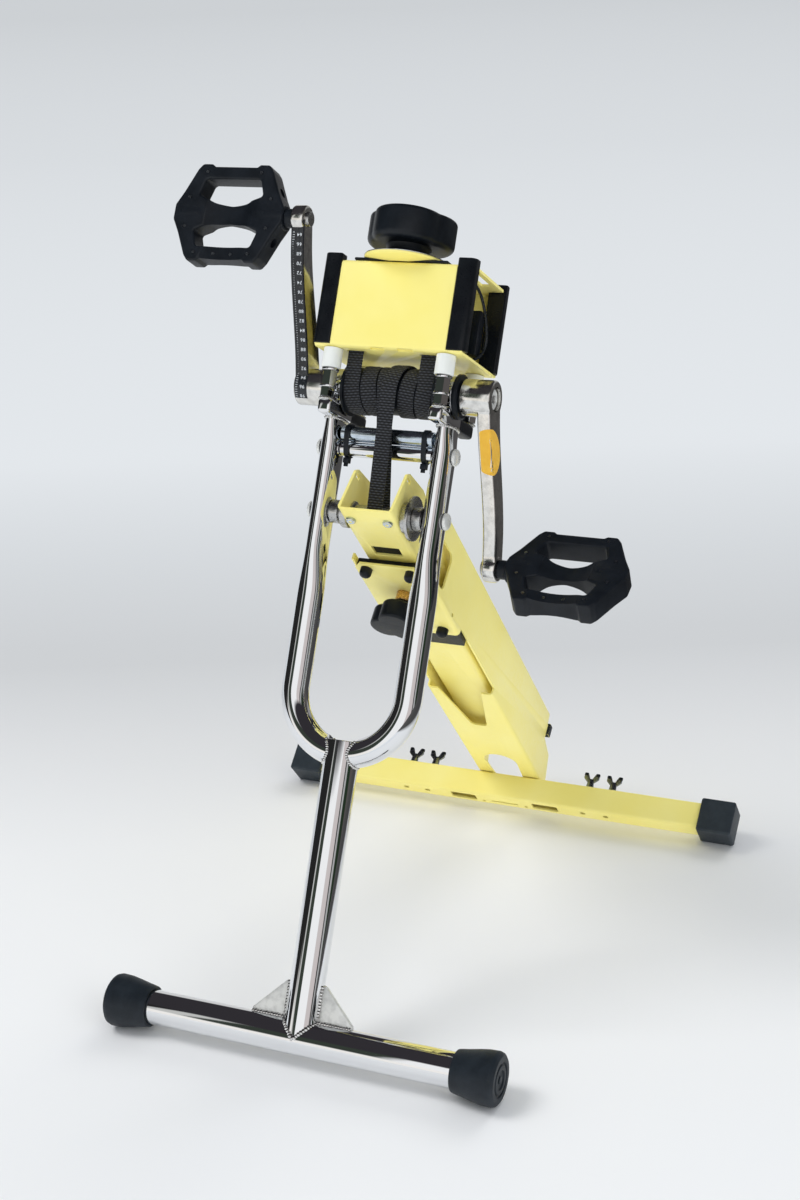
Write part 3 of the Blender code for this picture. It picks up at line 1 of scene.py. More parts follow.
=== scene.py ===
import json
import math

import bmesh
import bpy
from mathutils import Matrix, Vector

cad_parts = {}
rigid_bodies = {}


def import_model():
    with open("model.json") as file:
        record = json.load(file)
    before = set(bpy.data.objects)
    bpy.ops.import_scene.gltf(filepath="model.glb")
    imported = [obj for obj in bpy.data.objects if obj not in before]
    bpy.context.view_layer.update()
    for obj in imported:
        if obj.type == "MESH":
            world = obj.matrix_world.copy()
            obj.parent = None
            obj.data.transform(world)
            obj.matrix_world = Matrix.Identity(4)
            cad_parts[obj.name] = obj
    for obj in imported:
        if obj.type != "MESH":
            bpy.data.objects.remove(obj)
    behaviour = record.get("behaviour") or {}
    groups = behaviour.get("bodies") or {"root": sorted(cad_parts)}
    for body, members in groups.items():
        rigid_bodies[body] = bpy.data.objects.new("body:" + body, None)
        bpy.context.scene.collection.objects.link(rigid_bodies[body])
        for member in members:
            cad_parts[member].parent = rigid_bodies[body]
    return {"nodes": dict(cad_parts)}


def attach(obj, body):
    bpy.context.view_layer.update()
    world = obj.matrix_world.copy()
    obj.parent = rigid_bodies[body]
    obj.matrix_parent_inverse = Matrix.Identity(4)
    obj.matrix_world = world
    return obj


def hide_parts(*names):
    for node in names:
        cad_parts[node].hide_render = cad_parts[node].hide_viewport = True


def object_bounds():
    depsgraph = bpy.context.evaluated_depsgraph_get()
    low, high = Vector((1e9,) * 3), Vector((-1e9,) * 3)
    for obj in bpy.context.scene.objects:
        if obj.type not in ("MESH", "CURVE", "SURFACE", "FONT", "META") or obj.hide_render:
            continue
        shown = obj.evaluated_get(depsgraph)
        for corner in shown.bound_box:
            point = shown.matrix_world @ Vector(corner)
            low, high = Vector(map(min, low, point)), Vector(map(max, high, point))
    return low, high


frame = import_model()
cad_low, cad_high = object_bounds()

# %% [markdown]
# # A portable exercise bike, dressed for its picture
# The solids of the bike arrive already placed, in metres, with +Z up and the floor at zero. This lesson
# gives them the looks of the real thing: mirror chrome on the fork, a lemon powder coat on the leg and the
# head, black rubber, moulded pedals and a woven brake band. Flat sheet parts keep the solid's own shape and
# only get their edges rounded. Round parts are turned again with more sides, because a mirror shows every
# facet.

MM = 0.001
GAP = 0.3 * MM
SIDES = {"left": -1, "right": 1}
LEAN = math.radians(26.8)
FOOT_Y, TIP_R = -275.0 * MM, 24.0 * MM
TUBE_R, TUBE_WALL = 15.9 * MM, 1.8 * MM
POST_TOP, LEG_TOP = 264.0 * MM, 552.7 * MM
LEG_X, LEG_R, BEND_Z = 55.0 * MM, 12.7 * MM, 307.0 * MM
PRESSED_X, PRESSED_Y = 9.9 * MM, 15.6 * MM
PIVOT_Z, SPACER_Z, CRANK_Z = 468.9 * MM, 527.0 * MM, 582.1 * MM
SPACER_R, AXLE_R = 6.8 * MM, 8.0 * MM
CRANK_LENGTH = 152.0 * MM
CRANK_TURN = math.radians(16.6) - LEAN
LEG_ANGLE = math.radians(41.69702507)


def mm(value):
    """Millimetres as metres, in any nest of tuples and lists."""
    return value * MM if isinstance(value, (int, float)) else type(value)(mm(part) for part in value)


def linked(name, data):
    made = bpy.data.objects.new(name, data)
    bpy.context.scene.collection.objects.link(made)
    return made


def circle(count):
    return [2 * math.pi * i / count for i in range(count)]


def smoothstep(t):
    t = min(max(t, 0.0), 1.0)
    return t * t * (3 - 2 * t)


print(f"the solids measure {[round((b - a) * 1000, 1) for a, b in zip(cad_low, cad_high)]} mm")

# %% [markdown]
# Nearly every piece sits square in one of four tilted frames: the fork, which leans back, the folding leg,
# the crank and each pedal. A matrix for each frame lets a piece be drawn upright and then be laid in its
# place, so that its object can stay at the origin.

# %% The tilted frames
FORK = Matrix.Translation((0, FOOT_Y, TIP_R)) @ Matrix.Rotation(-LEAN, 4, "X")
LEG = Matrix.Translation(FORK @ Vector((0, 0, PIVOT_Z))) @ Matrix.Rotation(LEG_ANGLE, 4, "X")
CRANK = Matrix.Translation(FORK @ Vector((0, 0, CRANK_Z))) @ Matrix.Rotation(CRANK_TURN, 4, "X")
PEDALS = {}
for side, tilt in (("left", 60.5), ("right", 22.0)):
    at = CRANK @ Vector((0, 0, -SIDES[side] * CRANK_LENGTH))
    PEDALS[side] = Matrix.Translation(at) @ Matrix.Rotation(math.radians(tilt), 4, "X")
print("pedal centres", {side: [round(v, 4) for v in place.translation] for side, place in PEDALS.items()})

# %% [markdown]
# ## The camera
# The picture was taken with a short telephoto lens from the left of the foot bar, a little above the pedals,
# with the camera rolled by two degrees. The three angles below were found by lining up the straight edges of
# the fork, the foot bar and the base bar with the photograph.

# %% Camera
CAMERA_AT, LENS, SENSOR = (0.6873, -1.5727, 0.9609), 57.72, 36
aim, pitch, roll = (math.radians(v) for v in (23.9, 19.9, 2.1))
forward = Vector((-math.sin(aim) * math.cos(pitch), math.cos(aim) * math.cos(pitch), -math.sin(pitch)))
level = Vector((math.cos(aim), math.sin(aim), 0))
down = forward.cross(level)
right = math.cos(roll) * level + math.sin(roll) * down
down = -math.sin(roll) * level + math.cos(roll) * down
camera = linked("camera", bpy.data.cameras.new("camera"))
camera.matrix_world = Matrix([(right[i], -down[i], -forward[i], CAMERA_AT[i])
                              for i in range(3)] + [(0, 0, 0, 1)])
camera.data.lens = LENS
camera.data.sensor_width = SENSOR
camera.data.sensor_fit = "AUTO"
camera.data.clip_start, camera.data.clip_end = 0.05, 200
bpy.context.scene.camera = camera
print("camera at", [round(v, 4) for v in camera.location], "lens", camera.data.lens)

# %% [markdown]
# ## Finishes
# A finish is a small node tree. The helper adds a node, sets its sockets by name and links the ones that are
# given another node's output. Patterns read Object coordinates in metres, so a scale of 1000 gives grains of
# about a millimetre whatever the piece.

# %% Helpers for node trees
def add(tree, kind, sockets=None, **settings):
    made = tree.nodes.new(kind)
    for key, value in settings.items():
        setattr(made, key, value)
    for key, value in (sockets or {}).items():
        if isinstance(value, bpy.types.NodeSocket):
            tree.links.new(value, made.inputs[key])
        else:
            made.inputs[key].default_value = value
    return made


def calc(tree, operation, *values):
    return add(tree, "ShaderNodeMath", dict(enumerate(values)), operation=operation).outputs[0]


def coordinates(tree, kind="Object"):
    return add(tree, "ShaderNodeTexCoord").outputs[kind]


def start_finish(name, colour, metallic=0.0, roughness=0.5):
    made = bpy.data.materials.new(name)
    made.use_nodes = True
    shader = made.node_tree.nodes["Principled BSDF"]
    shader.inputs["Base Color"].default_value = (*colour, 1)
    shader.inputs["Metallic"].default_value = metallic
    shader.inputs["Roughness"].default_value = roughness
    return made, made.node_tree, shader


def noise(tree, scale, detail=2.0, vector=None, roughness=0.5):
    return add(tree, "ShaderNodeTexNoise", {"Vector": vector or coordinates(tree), "Scale": scale,
                                            "Detail": detail, "Roughness": roughness}).outputs["Fac"]


def spread(tree, value, low, high, start=0.3, end=0.7):
    return add(tree, "ShaderNodeMapRange", {"Value": value, "From Min": start, "From Max": end,
                                            "To Min": low, "To Max": high}).outputs["Result"]


def blend_colours(tree, share, first, second):
    made = add(tree, "ShaderNodeMix", {0: share}, data_type="RGBA")
    for socket, colour in ((made.inputs[6], first), (made.inputs[7], second)):
        if isinstance(colour, bpy.types.NodeSocket):
            tree.links.new(colour, socket)
        else:
            socket.default_value = (*colour, 1)
    return made.outputs[2]


def tint(tree, shader, share, first, second):
    tree.links.new(blend_colours(tree, share, first, second), shader.inputs["Base Color"])


def roughen(tree, shader, value, low, high):
    tree.links.new(spread(tree, value, low, high), shader.inputs["Roughness"])


def bump(tree, shader, height, distance, strength):
    made = add(tree, "ShaderNodeBump", {"Height": height, "Distance": distance, "Strength": strength})
    tree.links.new(made.outputs["Normal"], shader.inputs["Normal"])


# %% [markdown]
# Chrome on tube is a perfect mirror with two flaws: the drawn steel below it waves a little along its
# length, and hands leave it a shade duller in patches. The waves are what breaks the reflections into
# streaks.

# %% Chrome, zinc, steel and brass
def make_chrome():
    made, tree, shader = start_finish("mirror_chrome", (0.82, 0.83, 0.845), 1.0, 0.05)
    roughen(tree, shader, noise(tree, 45.0, 3.0), 0.02, 0.055)
    bump(tree, shader, noise(tree, 60.0, 1.0), 0.00008, 0.25)
    return made


def make_metal(name, colour, low, high, grain, depth, streak=None):
    made, tree, shader = start_finish(name, colour, 1.0, high)
    coords = coordinates(tree)
    if streak:
        coords = add(tree, "ShaderNodeMapping", {"Vector": coords, "Scale": streak}).outputs["Vector"]
    fine = noise(tree, grain, 2.0, coords)
    roughen(tree, shader, fine, low, high)
    patches = spread(tree, noise(tree, 160.0, 3.0), 0.0, 1.0, 0.45, 0.8)
    tint(tree, shader, patches, colour, tuple(0.72 * c for c in colour))
    bump(tree, shader, fine, depth, 0.6)
    return made


chrome = make_chrome()
weld_chrome = make_metal("chromed_weld", (0.80, 0.80, 0.79), 0.10, 0.28, 420.0, 0.0004)
zinc = make_metal("blue_zinc", (0.60, 0.68, 0.76), 0.12, 0.24, 300.0, 0.000006)
dark_zinc = make_metal("dark_zinc", (0.30, 0.33, 0.36), 0.22, 0.40, 500.0, 0.00003)
satin = make_metal("satin_chrome", (0.80, 0.80, 0.77), 0.34, 0.50, 700.0, 0.00003)
satin.node_tree.nodes["Principled BSDF"].inputs["Metallic"].default_value = 0.45
steel = make_metal("bare_steel", (0.56, 0.56, 0.55), 0.22, 0.36, 900.0, 0.000006, (0.15, 1, 1))
forged = make_metal("polished_forging", (0.80, 0.79, 0.76), 0.10, 0.24, 200.0, 0.00003, (1, 1, 0.3))
brass = make_metal("brass", (0.74, 0.46, 0.20), 0.18, 0.34, 600.0, 0.00002)
print("metals:", [m.name for m in (chrome, weld_chrome, zinc, dark_zinc, satin, steel, forged, brass)])

# %% [markdown]
# Powder coat is baked plastic dust. Close up it has the dimples of orange peel, about a millimetre across,
# and it is a touch deeper in colour where it runs thick. Two noises do it: a fine one for the dimples and a
# coarse one for the colour.

# %% Lemon powder coat
def make_powder_coat():
    made, tree, shader = start_finish("lemon_powder_coat", (0.955, 0.83, 0.22), 0.0, 0.36)
    thick = spread(tree, noise(tree, 22.0, 2.0), 0.0, 1.0)
    tint(tree, shader, thick, (0.940, 0.820, 0.235), (0.950, 0.845, 0.285))
    roughen(tree, shader, noise(tree, 240.0, 2.0), 0.28, 0.42)
    bump(tree, shader, noise(tree, 950.0, 1.0), 0.00008, 0.4)
    return made


powder = make_powder_coat()

# %% [markdown]
# The black parts differ in their skin. Rubber tips and strips are blue-black with a matt bloom and fine
# pits, the pedals and knobs are glass-filled plastic with a shinier pebbled skin, and the caps are the
# palest. One function makes them all from a few numbers.

# %% Rubber and moulded plastic
def make_black(name, dark, light, low, high, grain, depth):
    made, tree, shader = start_finish(name, dark, 0.0, high)
    shader.inputs["Specular IOR Level"].default_value = 0.3
    cloud = noise(tree, 60.0, 4.0, roughness=0.6)
    tint(tree, shader, spread(tree, cloud, 0.0, 1.0, 0.35, 0.75), dark, light)
    fine = noise(tree, grain, 2.0)
    roughen(tree, shader, fine, low, high)
    bump(tree, shader, fine, depth, 0.7)
    return made


BLACKS = (
    ("tip_rubber", (0.009, 0.013, 0.018), (0.019, 0.026, 0.034), 0.46, 0.62, 1500.0, 0.00010),
    ("strip_rubber", (0.004, 0.005, 0.007), (0.008, 0.010, 0.012), 0.26, 0.38, 900.0, 0.00003),
    ("moulded_black", (0.005, 0.007, 0.010), (0.010, 0.013, 0.018), 0.34, 0.50, 1100.0, 0.00009),
    ("knob_black", (0.004, 0.006, 0.009), (0.008, 0.011, 0.015), 0.34, 0.46, 1300.0, 0.00007),
    ("cap_black", (0.020, 0.027, 0.034), (0.034, 0.044, 0.054), 0.42, 0.58, 1300.0, 0.00007))
rubber, strip_rubber, moulded, knob_black, cap_black = (make_black(*row) for row in BLACKS)
print("blacks:", [row[0] for row in BLACKS])

# %% [markdown]
# Nylon is milky: light enters it and comes out softened, which a little subsurface scattering gives. The
# amber dot on the right arm is a glossy film, and the scale on the left arm is white ink on black film.

# %% Nylon, films and ink
def make_soft_white():
    made, tree, shader = start_finish("white_nylon", (0.80, 0.81, 0.77), 0.0, 0.42)
    shader.inputs["Subsurface Weight"].default_value = 0.15
    shader.inputs["Subsurface Radius"].default_value = (0.002, 0.002, 0.0018)
    roughen(tree, shader, noise(tree, 500.0, 2.0), 0.34, 0.50)
    bump(tree, shader, noise(tree, 700.0, 2.0), 0.00004, 0.5)
    return made


def make_film(name, colour, shade, low, high):
    made, tree, shader = start_finish(name, colour, 0.0, high)
    tint(tree, shader, spread(tree, noise(tree, 130.0, 2.0), 0.0, 1.0), colour, shade)
    roughen(tree, shader, noise(tree, 420.0, 2.0), low, high)
    bump(tree, shader, noise(tree, 380.0, 1.0), 0.00003, 0.4)
    return made


nylon = make_soft_white()
amber = make_film("amber_film", (0.86, 0.50, 0.045), (0.80, 0.43, 0.03), 0.38, 0.52)
scale_film = make_film("scale_film", (0.010, 0.012, 0.015), (0.018, 0.021, 0.024), 0.18, 0.32)
ink = make_film("white_ink", (0.80, 0.82, 0.84), (0.66, 0.69, 0.72), 0.40, 0.55)

# %% [markdown]
# Webbing is a plain weave of thick nylon threads: ribs run across the band, two millimetres and a bit
# apart, and the long threads dive under every other one. The band carries a UV map whose V is the distance
# along it in metres, so two sine waves multiplied give the over and under, and the pattern follows every
# bend.

# %% Webbing
THREADS, RIBS = 7.0, 410.0


def make_webbing():
    made, tree, shader = start_finish("black_webbing", (0.018, 0.020, 0.024), 0.0, 0.75)
    place = add(tree, "ShaderNodeUVMap", uv_map="weave").outputs["UV"]
    split = add(tree, "ShaderNodeSeparateXYZ", {"Vector": place}).outputs
    thread = calc(tree, "SINE", calc(tree, "MULTIPLY", split["X"], THREADS * math.pi))
    rib = calc(tree, "SINE", calc(tree, "MULTIPLY", split["Y"], RIBS * math.pi))
    over = calc(tree, "MULTIPLY", thread, rib)
    height = calc(tree, "MULTIPLY_ADD", over, 0.3, calc(tree, "MULTIPLY", rib, rib))
    # The raised threads are painted paler than the hollows: a painted highlight on the ribs, besides the
    # bump.
    pale = spread(tree, height, 0.0, 1.0, 0.25, 1.3)
    tint(tree, shader, pale, (0.001, 0.001, 0.0015), (0.060, 0.065, 0.078))
    shader.inputs["Sheen Weight"].default_value = 0.08
    shader.inputs["Sheen Roughness"].default_value = 0.5
    bump(tree, shader, height, 0.0006, 1.0)
    return made


webbing = make_webbing()

# %% [markdown]
# ## Shapes
# A piece is drawn as a mesh in its own frame, laid in place, given its finish and hung on the body it rides
# on, and the solid that it stands for is hidden. Smooth shading with sharp edges above an angle keeps flats
# flat.

# %% Making a piece
def plain_mesh(shape, name):
    mesh = bpy.data.meshes.new(name)
    shape.to_mesh(mesh)
    shape.free()
    return mesh


def mesh_of(shape, name):
    """The mesh of a shape whose faces are first turned outwards."""
    bmesh.ops.recalc_face_normals(shape, faces=shape.faces)
    return plain_mesh(shape, name)


def piece(name, mesh, finish, body, place=None, stands_for=(), angle=35, slot=None):
    if place is not None:
        mesh.transform(place)
    made = linked(name, mesh)
    if not mesh.materials:
        mesh.materials.append(finish)
    mesh.shade_smooth()
    mesh.set_sharp_from_angle(angle=math.radians(angle))
    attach(made, body)
    if stands_for:
        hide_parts(*stands_for)
    return made


def baked(made):
    """The plain mesh of an object with its modifiers carried out; the object itself goes."""
    bpy.context.view_layer.update()
    mesh = bpy.data.meshes.new_from_object(made.evaluated_get(bpy.context.evaluated_depsgraph_get()))
    bpy.data.objects.remove(made, do_unlink=True)
    return mesh


def joined(*meshes):
    shape = bmesh.new()
    for mesh in meshes:
        shape.from_mesh(mesh)
    return plain_mesh(shape, "joined")


def mirrored(mesh):
    shape = bmesh.new()
    shape.from_mesh(mesh)
    bmesh.ops.scale(shape, vec=(-1, 1, 1), verts=shape.verts)
    bmesh.ops.reverse_faces(shape, faces=shape.faces)
    return plain_mesh(shape, "mirrored")


def on_side(mesh, sign):
    return mesh if sign > 0 else mirrored(mesh)


def pair(name, mesh, finish, body, place, stands_for=None, **more):
    """A piece on either side of the bike: the left one is the mirror image of the right one."""
    for side, sign in SIDES.items():
        solids = [f"{stands_for}_{side}"] if stands_for else ()
        piece(f"{name}_{side}", on_side(mesh, sign), finish, body, place, solids, **more)


def skinned(loops):
    """A skin over loops of as many points each, closed by a face at either end."""
    shape = bmesh.new()
    rows = [[shape.verts.new(point) for point in loop] for loop in loops]
    for lower, upper in zip(rows, rows[1:]):
        for i in range(len(lower)):
            j = (i + 1) % len(lower)
            shape.faces.new((lower[i], lower[j], upper[j], upper[i]))
    shape.faces.new(rows[0])
    shape.faces.new(rows[-1])
    return shape


def round_edges(shape, edges, width, segments):
    bmesh.ops.recalc_face_normals(shape, faces=shape.faces)
    bmesh.ops.bevel(shape, geom=edges, offset=width, segments=segments, profile=0.5, affect="EDGES")


# %% [markdown]
# Turned parts come from a profile of radius and height points. Their corners are rounded first, since a
# real turned edge always catches a line of light. A point on the axis becomes a single vertex, so the ends
# close without a hole.

# %% Turning a profile
AXES = {"X": Matrix.Rotation(math.radians(90), 4, "Y"), "Y": Matrix.Rotation(math.radians(-90), 4, "X"),
        "Z": Matrix.Identity(4)}
ON_AXIS, SHORTEST, STRAIGHT = 1e-6, 1e-7, 3.1


def rounded(points, radius, count=3):
    """A closed outline with an arc at each corner, of one radius or of one for each corner."""
    radii = radius if isinstance(radius, (list, tuple)) else [radius] * len(points)
    drawn = []
    for i, corner in enumerate(points):
        here = Vector(corner)
        before, after = Vector(points[i - 1]) - here, Vector(points[(i + 1) % len(points)]) - here
        if radii[i] <= 0 or min(before.length, after.length) < SHORTEST or before.angle(after) > STRAIGHT:
            drawn.append(tuple(here))
            continue
        half = before.angle(after) / 2
        reach = min(radii[i] / math.tan(half), before.length * 0.48, after.length * 0.48)
        size = reach * math.tan(half)
        centre = here + (before.normalized() + after.normalized()).normalized() * (size / math.sin(half))
        start = here + before.normalized() * reach - centre
        end = here + after.normalized() * reach - centre
        turn = start.angle_signed(end)
        for step in range(count + 1):
            part = start.copy()
            part.rotate(Matrix.Rotation(-turn * step / count, 2))
            drawn.append(tuple(centre + part))
    return drawn


def turned(axis, profile, at=(0, 0, 0), sides=64, edge=0.4 * MM):
    radii = [0 if radius < ON_AXIS else edge for radius, _ in profile]
    points = rounded(profile, radii) if edge else profile
    shape = bmesh.new()
    loops = []
    for radius, height in points:
        turns = [0] if radius < ON_AXIS else circle(sides)
        radius = 0 if radius < ON_AXIS else radius
        loops.append([shape.verts.new((radius * math.cos(t), radius * math.sin(t), height)) for t in turns])
    for lower, upper in zip(loops, loops[1:] + loops[:1]):
        for i in range(sides):
            j = (i + 1) % sides
            corners = [loop[k % len(loop)] for loop, k in ((lower, i), (lower, j), (upper, j), (upper, i))]
            corners = list(dict.fromkeys(corners))
            if len(corners) > 2:
                shape.faces.new(corners)
    mesh = mesh_of(shape, "turned")
    mesh.transform(Matrix.Translation(at) @ AXES[axis])
    return mesh


def ring(axis, outer, inner, low, high, at=(0, 0, 0), sides=64, edge=0.4 * MM):
    return turned(axis, [(outer, low), (outer, high), (inner, high), (inner, low)], at, sides, edge)


def rod(axis, radius, low, high, at=(0, 0, 0), sides=48, edge=0.4 * MM):
    return turned(axis, [(0, low), (radius, low), (radius, high), (0, high)], at, sides, edge)


# %% [markdown]
# Sheet parts keep their solid. A copy of its triangles is merged, its flat faces are dissolved back into
# whole faces, and a Bevel modifier rounds what is left, by the radius that a punched and coated edge has.

# %% Rounding the edges of a solid
SAME = 2e-6


def softened(node, width, segments=2, angle=35):
    shape = bmesh.new()
    shape.from_mesh(frame["nodes"][node].data)
    bmesh.ops.remove_doubles(shape, verts=shape.verts, dist=SAME)
    bmesh.ops.dissolve_limit(shape, angle_limit=math.radians(1.0), verts=shape.verts, edges=shape.edges)
    bmesh.ops.dissolve_degenerate(shape, edges=shape.edges, dist=SAME)
    made = linked(node + "_edges", plain_mesh(shape, node))
    step = made.modifiers.new("edges", "BEVEL")
    step.width = width
    step.segments = segments
    step.limit_method = "ANGLE"
    step.angle_limit = math.radians(angle)
    step.miter_outer = "MITER_ARC"
    return baked(made)


def box(low, high, edge=0.5 * MM, segments=2):
    shape = bmesh.new()
    low, high = Vector(low), Vector(high)
    bmesh.ops.create_cube(shape, size=1)
    bmesh.ops.scale(shape, vec=high - low, verts=shape.verts)
    bmesh.ops.translate(shape, vec=(low + high) / 2, verts=shape.verts)
    if edge:
        round_edges(shape, shape.edges[:] + shape.verts[:], edge, segments)
    return mesh_of(shape, "box")


def block(low, high, edge=0.5, segments=2):
    """A box whose corners and edge are given in millimetres."""
    return box(mm(low), mm(high), edge * MM, segments)


def combined(operation, mesh, *tools):
    made = linked("combined", mesh)
    others = [linked("tool", tool) for tool in tools]
    for other in others:
        step = made.modifiers.new("combine", "BOOLEAN")
        step.operation, step.solver, step.object = operation, "EXACT", other
    result = baked(made)
    for other in others:
        bpy.data.objects.remove(other, do_unlink=True)
    return result


def cut(mesh, *tools):
    return combined("DIFFERENCE", mesh, *tools)


def united(mesh, *others):
    return combined("UNION", mesh, *others)


# %% [markdown]
# What repeats along a line is grown by Geometry Nodes: weld beads, the ticks of the scale and the studs of
# the pedals. A tree takes a path and named sizes, sets one small shape on each point and turns it all into
# a plain mesh. The random sizes of the beads come from a fixed seed, so that the lesson gives the same bike
# every time.

# %% Growing shapes along a path
def new_tree(name, **sizes):
    tree = bpy.data.node_groups.new(name, "GeometryNodeTree")
    tree.interface.new_socket("Path", in_out="INPUT", socket_type="NodeSocketGeometry")
    for key, value in sizes.items():
        kind = "NodeSocketInt" if isinstance(value, int) else "NodeSocketFloat"
        tree.interface.new_socket(key, in_out="INPUT", socket_type=kind).default_value = value
    tree.interface.new_socket("Finish", in_out="INPUT", socket_type="NodeSocketMaterial")
    tree.interface.new_socket("Mesh", in_out="OUTPUT", socket_type="NodeSocketGeometry")
    return tree, tree.nodes.new("NodeGroupInput").outputs


def close_tree(tree, given, points, shape, **sockets):
    placed = add(tree, "GeometryNodeInstanceOnPoints", {"Points": points, "Instance": shape, **sockets})
    solid = add(tree, "GeometryNodeRealizeInstances", {"Geometry": placed.outputs["Instances"]})
    painted = add(tree, "GeometryNodeSetMaterial", {"Geometry": solid.outputs["Geometry"],
                                                    "Material": given["Finish"]})
    tree.links.new(painted.outputs["Geometry"], tree.nodes.new("NodeGroupOutput").inputs["Mesh"])
    return tree


def even_points(tree, given):
    curve = add(tree, "GeometryNodeMeshToCurve", {"Mesh": given["Path"]}).outputs["Curve"]
    points = add(tree, "GeometryNodeResampleCurve", {"Curve": curve, "Length": given["Spacing"]},
                 mode="LENGTH")
    ahead = add(tree, "GeometryNodeInputTangent").outputs["Tangent"]
    turn = add(tree, "FunctionNodeAlignRotationToVector", {"Vector": ahead}, axis="Z").outputs["Rotation"]
    return points.outputs["Curve"], turn


def bead_tree():
    tree, given = new_tree("weld_beads", Spacing=1.7 * MM, Radius=1.9 * MM, Seed=3)
    points, turn = even_points(tree, given)
    ball = add(tree, "GeometryNodeMeshUVSphere", {"Segments": 8, "Rings": 5, "Radius": given["Radius"]})
    size = add(tree, "FunctionNodeRandomValue",
               {0: (0.75, 0.75, 0.6), 1: (1.2, 1.2, 1.0), "Seed": given["Seed"]},
               data_type="FLOAT_VECTOR").outputs[0]
    return close_tree(tree, given, points, ball.outputs["Mesh"], Rotation=turn, Scale=size)


def tick_tree():
    tree, given = new_tree("scale_ticks", Spacing=2.15 * MM, Length=2.2 * MM, Width=0.35 * MM, Lift=0.1 * MM)
    points, turn = even_points(tree, given)
    size = add(tree, "ShaderNodeCombineXYZ", {"X": given["Length"], "Y": given["Lift"], "Z": given["Width"]})
    bar = add(tree, "GeometryNodeMeshCube", {"Size": size.outputs["Vector"]}).outputs["Mesh"]
    return close_tree(tree, given, points, bar, Rotation=turn)


def stud_tree():
    tree, given = new_tree("pedal_studs", Radius=1.5 * MM, Length=23.2 * MM)
    stud = add(tree, "GeometryNodeMeshCylinder", {"Vertices": 12, "Radius": given["Radius"],
                                                  "Depth": given["Length"]})
    return close_tree(tree, given, given["Path"], stud.outputs["Mesh"])


def path_of(points, closed=False):
    mesh = bpy.data.meshes.new("path")
    edges = [(i, i + 1) for i in range(len(points) - 1)] + ([(len(points) - 1, 0)] if closed else [])
    mesh.from_pydata([tuple(point) for point in points], edges, [])
    return mesh


def grown(tree, mesh, finish, **values):
    made = linked("grown", mesh)
    step = made.modifiers.new("grow", "NODES")
    step.node_group = tree
    values["Finish"] = finish
    for item in tree.interface.items_tree:
        if item.item_type == "SOCKET" and item.in_out == "INPUT" and item.name in values:
            step[item.identifier] = values[item.name]
    return baked(made)


beads, ticks, studs = bead_tree(), tick_tree(), stud_tree()
print("trees:", [tree.name for tree in (beads, ticks, studs)])

# %% [markdown]
# ## The chromed fork
# Foot bar and post are plain tube. The post is saddle-cut where it meets the bar, as a hole saw would do it,
# here by a boolean. Both are turned with 96 sides, so that the mirror stays smooth.

# %% Foot bar, tips and post
RIM_X, TIP_LENGTH, FINE = 148.2 * MM, 41.0 * MM, 96
tip_end = RIM_X + TIP_LENGTH
foot_half = tip_end - 7.3 * MM
foot_bar = ring("X", TUBE_R, TUBE_R - TUBE_WALL, -foot_half, foot_half, sides=FINE)
piece("foot_bar_tube", foot_bar, chrome, "frame", FORK, ["foot_bar"], slot="chrome")
post = cut(ring("Z", TUBE_R, TUBE_R - TUBE_WALL, 0, POST_TOP, sides=FINE, edge=0.6 * MM),
           rod("X", TUBE_R + 0.05 * MM, -60 * MM, 60 * MM, sides=FINE))


def gusset():
    seat, near, far = TUBE_R + GAP, TUBE_R - 0.6 * MM, 48.4 * MM
    outline = [(near, seat - 0.4 * MM), (far, seat - 0.4 * MM), (far, seat + 2.6 * MM),
               (seat + 2.6 * MM, 48 * MM), (near, 48 * MM)]
    shape = skinned([[(x, y, z) for x, z in outline] for y in mm((-2.5, 2.5))])
    round_edges(shape, shape.edges[:], 0.5 * MM, 2)
    return mesh_of(shape, "gusset")


piece("post_tube", post, chrome, "frame", FORK, ["post"], slot="chrome")
piece("gussets", joined(gusset(), mirrored(gusset())), satin, "frame", FORK, slot="chrome")
from_rim = [(18.6, 0), (19.4, 4), (20.2, 9), (22.2, 19), (23.5, 27)]
from_end = [(23.9, 5), (22.9, 1.9), (20.4, 0), (15.4, 0), (14.9, 1.4), (13.1, 1.4),
            (12.6, 0), (8.6, 0), (8.2, 1.2), (0, 1.2), (0, 7)]
tip_profile = [(TUBE_R + 0.1 * MM, RIM_X)]
tip_profile += [(radius * MM, RIM_X + step * MM) for radius, step in from_rim]
tip_profile += [(radius * MM, tip_end - step * MM) for radius, step in from_end]
tip_profile += [(TUBE_R + 0.1 * MM, tip_end - 7 * MM)]
tip = turned("X", tip_profile, sides=FINE, edge=0.7 * MM)
stub = rod("X", 3.4 * MM, tip_end - 2 * MM, tip_end - 0.2 * MM, sides=32)
pair("rubber_tip", joined(tip, stub), rubber, "frame", FORK, "foot_tip", slot="rubber")
print("foot bar", round(2 * foot_half * 1000, 1), "mm long between the tips' end walls")

# %% [markdown]
# Each leg is one tube, bent inwards to the post like half a wishbone, and pressed oval above so that it
# passes between crank and head. A sweep does both: rings of 64 points along the path, squeezed by two smooth
# steps where the press has closed on it.

# %% Fork legs
def leg_half_widths(height):
    oval = smoothstep((height - 390 * MM) / (50 * MM))
    top = smoothstep((height - SPACER_Z) / (26 * MM))
    return (LEG_R + (PRESSED_X - LEG_R) * oval - 1.9 * MM * top,
            LEG_R + (PRESSED_Y - LEG_R) * oval + 1.2 * MM * top)


